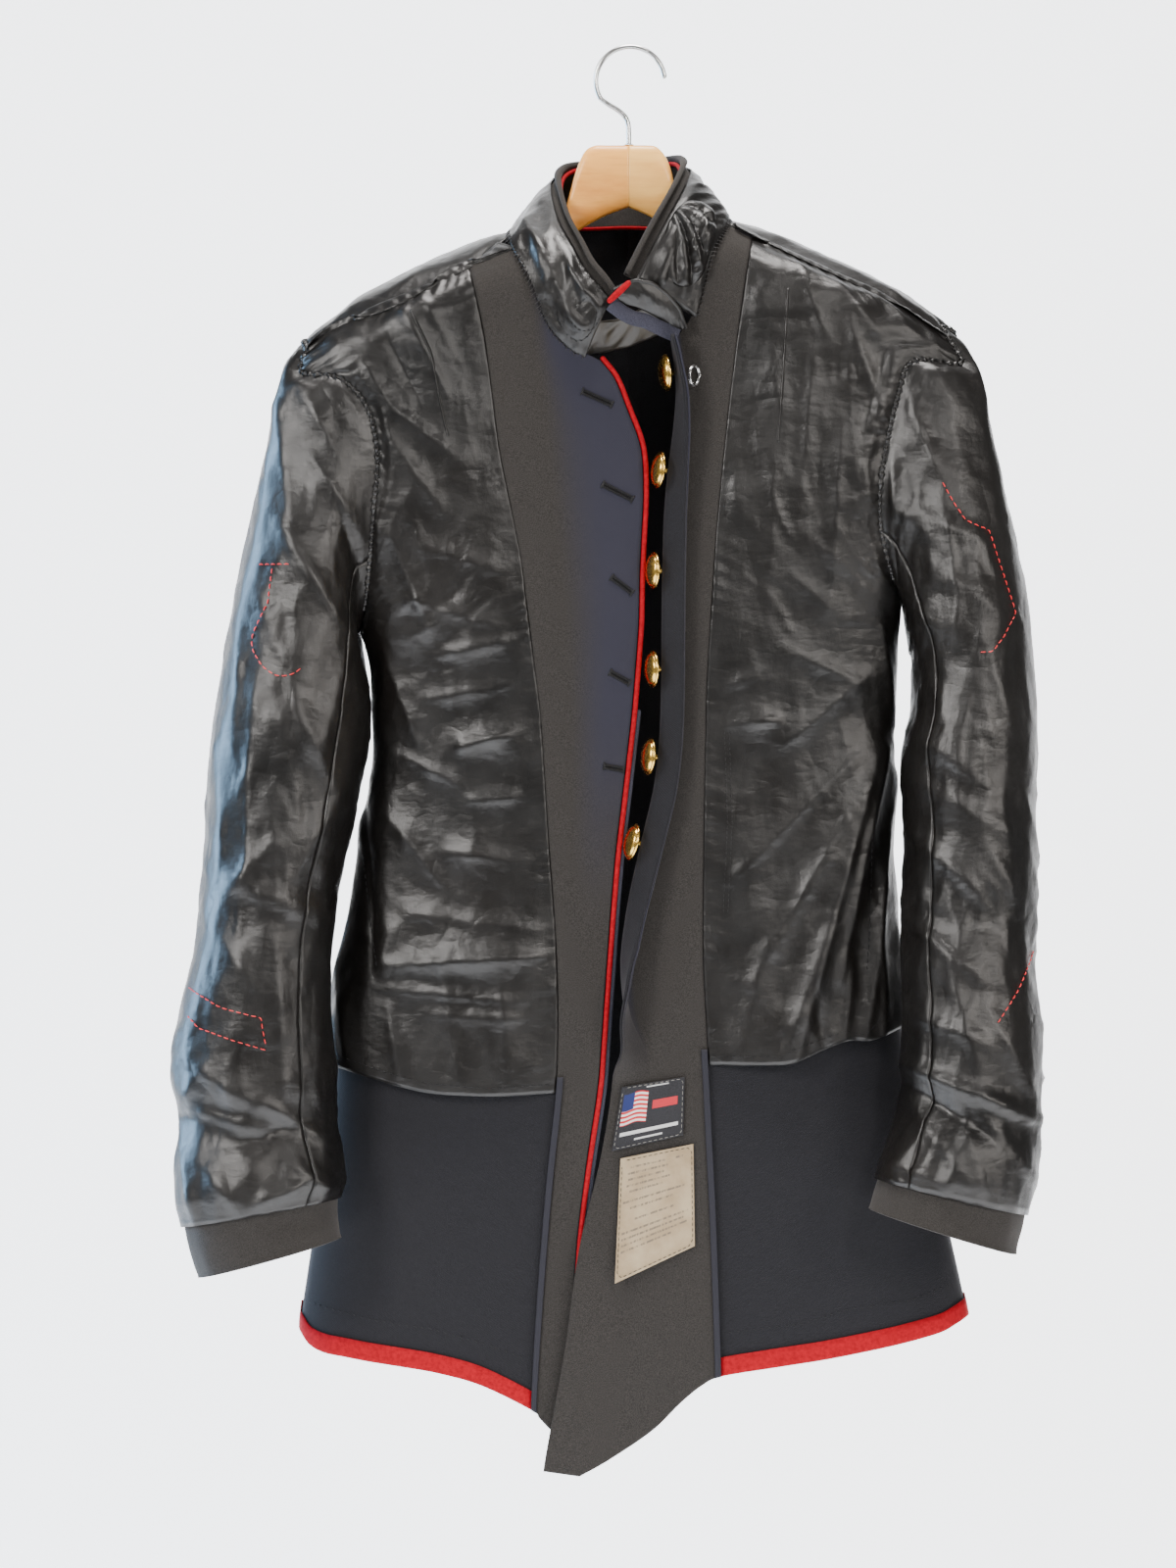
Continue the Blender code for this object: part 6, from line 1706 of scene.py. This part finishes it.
def seam_ridge(name, rows, sheet, look, width=2.6 * MM, high=0.7 * MM):
    """Pressed seam: a narrow strip with a raised middle, laid along a line on the cloth."""
    x, z = front_line(rows, 1.5)
    path, out = onto(sheet, x, z, 0.35 * MM)
    path = smoothed(path[::5], len(path))
    across = unit(np.cross(unit(np.gradient(path, axis=0)), out))[:, None]
    place = np.linspace(-1, 1, 9)[None, :, None]
    lift = high * (np.exp(-(place / 0.35) ** 2) - 0.5 * place ** 2)
    points = path[:, None] + across * place * width / 2 + out[:, None] * lift
    return cloth(name, points, 0.4 * MM, look)


def under_collar_seam(collar_cloth, looks):
    """Whip stitches where the collar's satin is sewn down along its base."""
    points, normals = collar_cloth
    line, out = points[0] + normals[0] * 0.7 * MM, normals[0]
    stitches("collar_base_sewing", line, out, looks["grey_thread"], 4.6 * MM, 1.5 * MM, 68)


def shoulder_seam(side, front, behind, looks):
    """Satin over the shoulder seam: straight across from the front's top edge to the back's."""
    name = SIDE_NAMES[side]
    (near, near_out), (far, _) = front, behind
    start = resample(near[0], 2 * MM)
    out = smoothed(near_out[0], len(start))
    dense = resample(far[0], 0.5 * MM)
    gap = np.linalg.norm(start[:, None] - dense[None], axis=-1)
    end = dense[np.maximum.accumulate(np.argmin(gap, axis=1))]
    out = unit(out + (0, 0, 0.6))
    across = unit(end - start + (0, 0.4 * MM, 0))
    first, last = start - across * 2.6 * MM, end + across * 2.6 * MM
    share = np.linspace(0, 1, 11)[None, :, None]
    run = lengths(start[:, None], 0)
    gathers = 0.35 * MM * np.sin(2 * math.pi * run / (9 * MM) + 3 * np.sin(run / (17 * MM)))[..., None]
    high = (0.5 * MM + gathers) * np.sin(math.pi * share) + 0.75 * MM
    points = first[:, None] * (1 - share) + last[:, None] * share + out[:, None] * high
    piece = cloth(f"shoulder_seam_{name}_satin", points, 0.5 * MM, looks["satin"])
    declare(points)


def armhole_sewing(side, lining, behind, looks):
    """Gathered roll of seam allowance round the armhole, overcast with long whip stitches."""
    name = SIDE_NAMES[side]
    (front, front_out), (back, back_out) = lining, behind
    line = np.concatenate([front[:UNDERARM_ROW, 0], back[BACK_UNDERARM_ROW::-1, 0]])
    out = np.concatenate([front_out[:UNDERARM_ROW, 0], back_out[BACK_UNDERARM_ROW::-1, 0]])
    path = resample(line, 0.8 * MM)
    out = unit(smoothed(out, len(path)))
    run = np.arange(len(path)) * 0.8 * MM
    uneven = lattice_noise(run / (14 * MM), np.zeros(len(run)), 5)
    gathers = (0.5 + 0.5 * np.sin(2 * math.pi * run / (5.2 * MM) + 2.5 * uneven)) ** 2
    radius = (1.5 + 0.5 * uneven + 1.0 * gathers) * MM
    tube(f"armhole_roll_{name}", path + out * 0.2 * MM, radius, looks["satin"], 14, up=(1, 0, 0))
    stitches(f"armhole_{name}_sewing", path + out * 1.9 * MM, out, looks["dark_thread"], 5.6 * MM, 2.4 * MM,
             58, 0.42 * MM)


def panel_sewing(linings, shells, arms, looks):
    """Darts, forward seams and the visible rows of stitches on linings, wool and sleeves."""
    left, right = linings
    dark, grey, red = looks["dark_thread"], looks["grey_thread"], looks["red_thread"]
    seam_ridge("dart_left", LEFT_DART, left, looks["satin"])
    seam_ridge("dart_right", RIGHT_DART, right, looks["satin"])
    seam_ridge("forward_seam_left", LEFT_FORWARD_SEAM, left, looks["satin"], 3.4 * MM)
    for name, rows, sheet in (("side_left", LEFT_SIDE_STITCH, left), ("side_right", RIGHT_SIDE_STITCH, right),
                              ("short_left", LEFT_SHORT_STITCH, left),
                              ("lining_hem_left", LEFT_LINING_HEM_STITCH, left),
                              ("lining_hem_right", RIGHT_LINING_HEM_STITCH, right)):
        sewn_line(name + "_sewing", rows, sheet, dark)
    for count, shift in enumerate((-1.6, 1.6), 1):
        rows = [(x + shift, z) for x, z in RIGHT_DOUBLE_STITCH]
        sewn_line(f"front_right_row_{count}_sewing", rows, right, grey, 2.4 * MM, 1.2 * MM)
    sewn_line("skirt_left_sewing", LEFT_SKIRT_STITCH, shells[0], dark, 2.2 * MM, 3.4 * MM, 20, 0.9 * MM)
    sewn_line("skirt_right_sewing", RIGHT_SKIRT_STITCH, shells[1], dark, 2.2 * MM, 3.4 * MM, 20, 0.9 * MM)
    for name, rows, arm in (("left_tab_1", LEFT_TAB_STITCH_1, 0), ("left_tab_2", LEFT_TAB_STITCH_2, 0),
                            ("left_bar_1", LEFT_BAR_STITCH_1, 0), ("left_bar_2", LEFT_BAR_STITCH_2, 0),
                            ("right_tab", RIGHT_TAB_STITCH, 1), ("right_bar", RIGHT_BAR_STITCH, 1)):
        sewn_line(f"sleeve_{name}_sewing", rows, arms[arm], red, 3.4 * MM, 1.9 * MM, 0, 0.8 * MM, 0.45 * MM)


def collar_sewing(collar_cloth, looks):
    """The slanted seam and the curved row of stitches on the collar's left end."""
    sewn_line("collar_arc_sewing", COLLAR_ARC, collar_cloth, looks["dark_thread"], 2.4 * MM, 1.2 * MM)
    sewn_line("collar_slant_sewing", COLLAR_DIAGONAL, collar_cloth, looks["dark_thread"], 2.6 * MM, 1.2 * MM)


def band_sewing(points, normals, looks):
    """Row of edge stitches down the curled band, a little in from its edge."""
    column_at = points.shape[1] - 4
    rows = (points[:, column_at, 2] < -0.2) & (points[:, column_at, 2] > -0.62)
    line = points[rows, column_at] + normals[rows, column_at] * (WOOL_THICK / 2 + THREAD)
    path = resample(line, 1 * MM)
    out = smoothed(normals[rows, column_at], len(path))
    stitches("band_edge_sewing", path, out, looks["dark_thread"], 3.0 * MM, 1.4 * MM)


def build_coat(looks):
    """All cloth, sewing and metal of the coat."""
    sides = {}
    for side in (-1, 1):
        front, back = front_cloth(side), back_cloth(side)
        rim = armhole_rim(front_panel(side), back_panel(side))
        sides[side] = {
            "front": front,
            "lining": front_lining(side, *front, looks),
            "facing": front_wool(side, *front, looks),
            "behind": back_wool_and_lining(side, *back, looks),
            "arm": sleeve(side, rim, looks),
        }
        made = sides[side]
        armhole_sewing(side, made["lining"], made["behind"], looks)
        top = [np.concatenate([satin[:1], wool[:1, 1:10]], 1)
               for satin, wool in zip(made["lining"], made["facing"])]
        shoulder_seam(side, top, made["behind"], looks)
    collar_cloth = collar(looks)
    under_collar_seam(collar_cloth, looks)
    collar_sewing(collar_cloth, looks)
    left, right = sides[-1], sides[1]
    panel_sewing((left["lining"], right["lining"]), (left["front"], right["front"]),
                 (left["arm"], right["arm"]), looks)
    front_edge(*left["front"], looks)
    band_sewing(*right["facing"], looks)
    buttons(*right["front"], looks)
    split_ring(right["facing"], looks)
    for number, ends in enumerate(BUTTONHOLES, 1):
        buttonhole(number, ends, left["facing"], looks)
    for name, corners, curl in (("woven_label", WOVEN_LABEL, 0), ("care_label", CARE_LABEL, 6 * MM)):
        label(name, corners, right["facing"], looks[name], curl)


def build_hanger(looks):
    """Both wooden arms and the hook."""
    for side in (-1, 1):
        wood(side, looks)
    hook(looks)


def see_through_behind(tree, shader):
    """Paper that shows on its front alone, so the coat can be seen from behind the sweep."""
    side = tree.nodes.new("ShaderNodeNewGeometry")
    clear = tree.nodes.new("ShaderNodeBsdfTransparent")
    both = tree.nodes.new("ShaderNodeMixShader")
    tree.links.new(side.outputs["Backfacing"], both.inputs[0])
    tree.links.new(shader.outputs[0], both.inputs[1])
    tree.links.new(clear.outputs[0], both.inputs[2])
    output = next(node for node in tree.nodes if node.type == "OUTPUT_MATERIAL")
    tree.links.new(both.outputs[0], output.inputs["Surface"])


def backdrop():
    """Pale paper sweep: a floor that curves up behind the coat into a wall.

    Its section is flat, then a quarter circle, then upright.
    """
    turn = np.linspace(0, math.pi / 2, 24)
    bend = np.stack([PAPER_BACK + PAPER_BEND * np.sin(turn),
                     PAPER_FLOOR + PAPER_BEND * (1 - np.cos(turn))], -1)
    section_line = np.concatenate([
        [(PAPER_FRONT, PAPER_FLOOR)], bend, [(PAPER_BACK + PAPER_BEND, PAPER_TOP)]])
    across = np.linspace(-PAPER_HALF, PAPER_HALF, 3)
    points = np.stack(np.broadcast_arrays(across[None], section_line[:, :1], section_line[:, 1:]), -1)
    made = new_look("Pale_paper", 0.9, level=0.2)
    made[2].inputs["Base Color"].default_value = (0.93, 0.93, 0.94, 1)
    made[2].inputs["Emission Color"].default_value = (1.0, 1.0, 1.0, 1)
    made[2].inputs["Emission Strength"].default_value = 2.0
    see_through_behind(*made[1:])
    mesh = bpy.data.meshes.new("Backdrop")
    mesh.from_pydata(points.reshape(-1, 3).tolist(), [], grid_faces(*points.shape[:2])[:, ::-1].tolist())
    mesh.shade_smooth()
    mesh.materials.append(made[0])
    obj = bpy.data.objects.new("Backdrop", mesh)
    bpy.context.scene.collection.objects.link(obj)


def softbox(name, place, target, size, power, colour):
    """Oblong light at a place, turned to its target."""
    light = bpy.data.lights.new(name, "AREA")
    light.shape = "RECTANGLE"
    light.size, light.size_y = size
    light.energy = power
    light.color = colour
    obj = bpy.data.objects.new(name, light)
    obj.location = place
    away = np.array(place, float) - np.array(target, float)
    flat = math.hypot(away[0], away[1])
    obj.rotation_euler = (math.atan2(flat, away[2]), 0, math.atan2(away[0], -away[1]))
    bpy.context.scene.collection.objects.link(obj)


def studio():
    """Pale room, a key light from the upper left front, a fill, a strip, a top light and a blue edge."""
    world = bpy.data.worlds.new("Pale_room")
    bpy.context.scene.world = world
    world.use_nodes = True
    shade = world.node_tree.nodes["Background"]
    shade.inputs["Color"].default_value = (1.0, 0.98, 0.96, 1)
    shade.inputs["Strength"].default_value = 0.26
    middle = (0, 0, -0.5)
    softbox("Cool_key", (-2.2, -2.6, 1.0), middle, (0.8, 1.5), 118, (1.0, 0.97, 0.94))
    softbox("Warm_fill", (2.4, -2.4, 0.2), middle, (0.7, 1.4), 42, (1.0, 0.94, 0.88))
    softbox("Front_strip", (1.25, -3.3, 0.75), (0.1, 0, -0.35), (0.30, 1.0), 40, (1.0, 0.96, 0.92))
    softbox("Top_light", (0.1, -0.4, 2.2), middle, (1.2, 0.8), 125, (1.0, 0.96, 0.93))
    softbox("Left_edge", (-2.2, 0.7, -0.1), middle, (0.8, 1.8), 110, (0.42, 0.68, 1.0))


def photo_camera():
    """Level camera at the photograph's distance and framing."""
    camera = bpy.data.cameras.new("Photo_camera")
    camera.sensor_fit = "VERTICAL"
    camera.sensor_height = SENSOR
    camera.lens = SENSOR * PHOTO_REACH / PHOTO_HEIGHT
    camera.clip_end = 100
    camera.dof.use_dof = False
    obj = bpy.data.objects.new("Photo_camera", camera)
    obj.location = PHOTO_PLACE
    obj.rotation_euler = (math.pi / 2, 0, 0)
    bpy.context.scene.collection.objects.link(obj)
    bpy.context.scene.camera = obj


looks = all_looks()
build_coat(looks)
build_hanger(looks)
backdrop()
studio()
photo_camera()
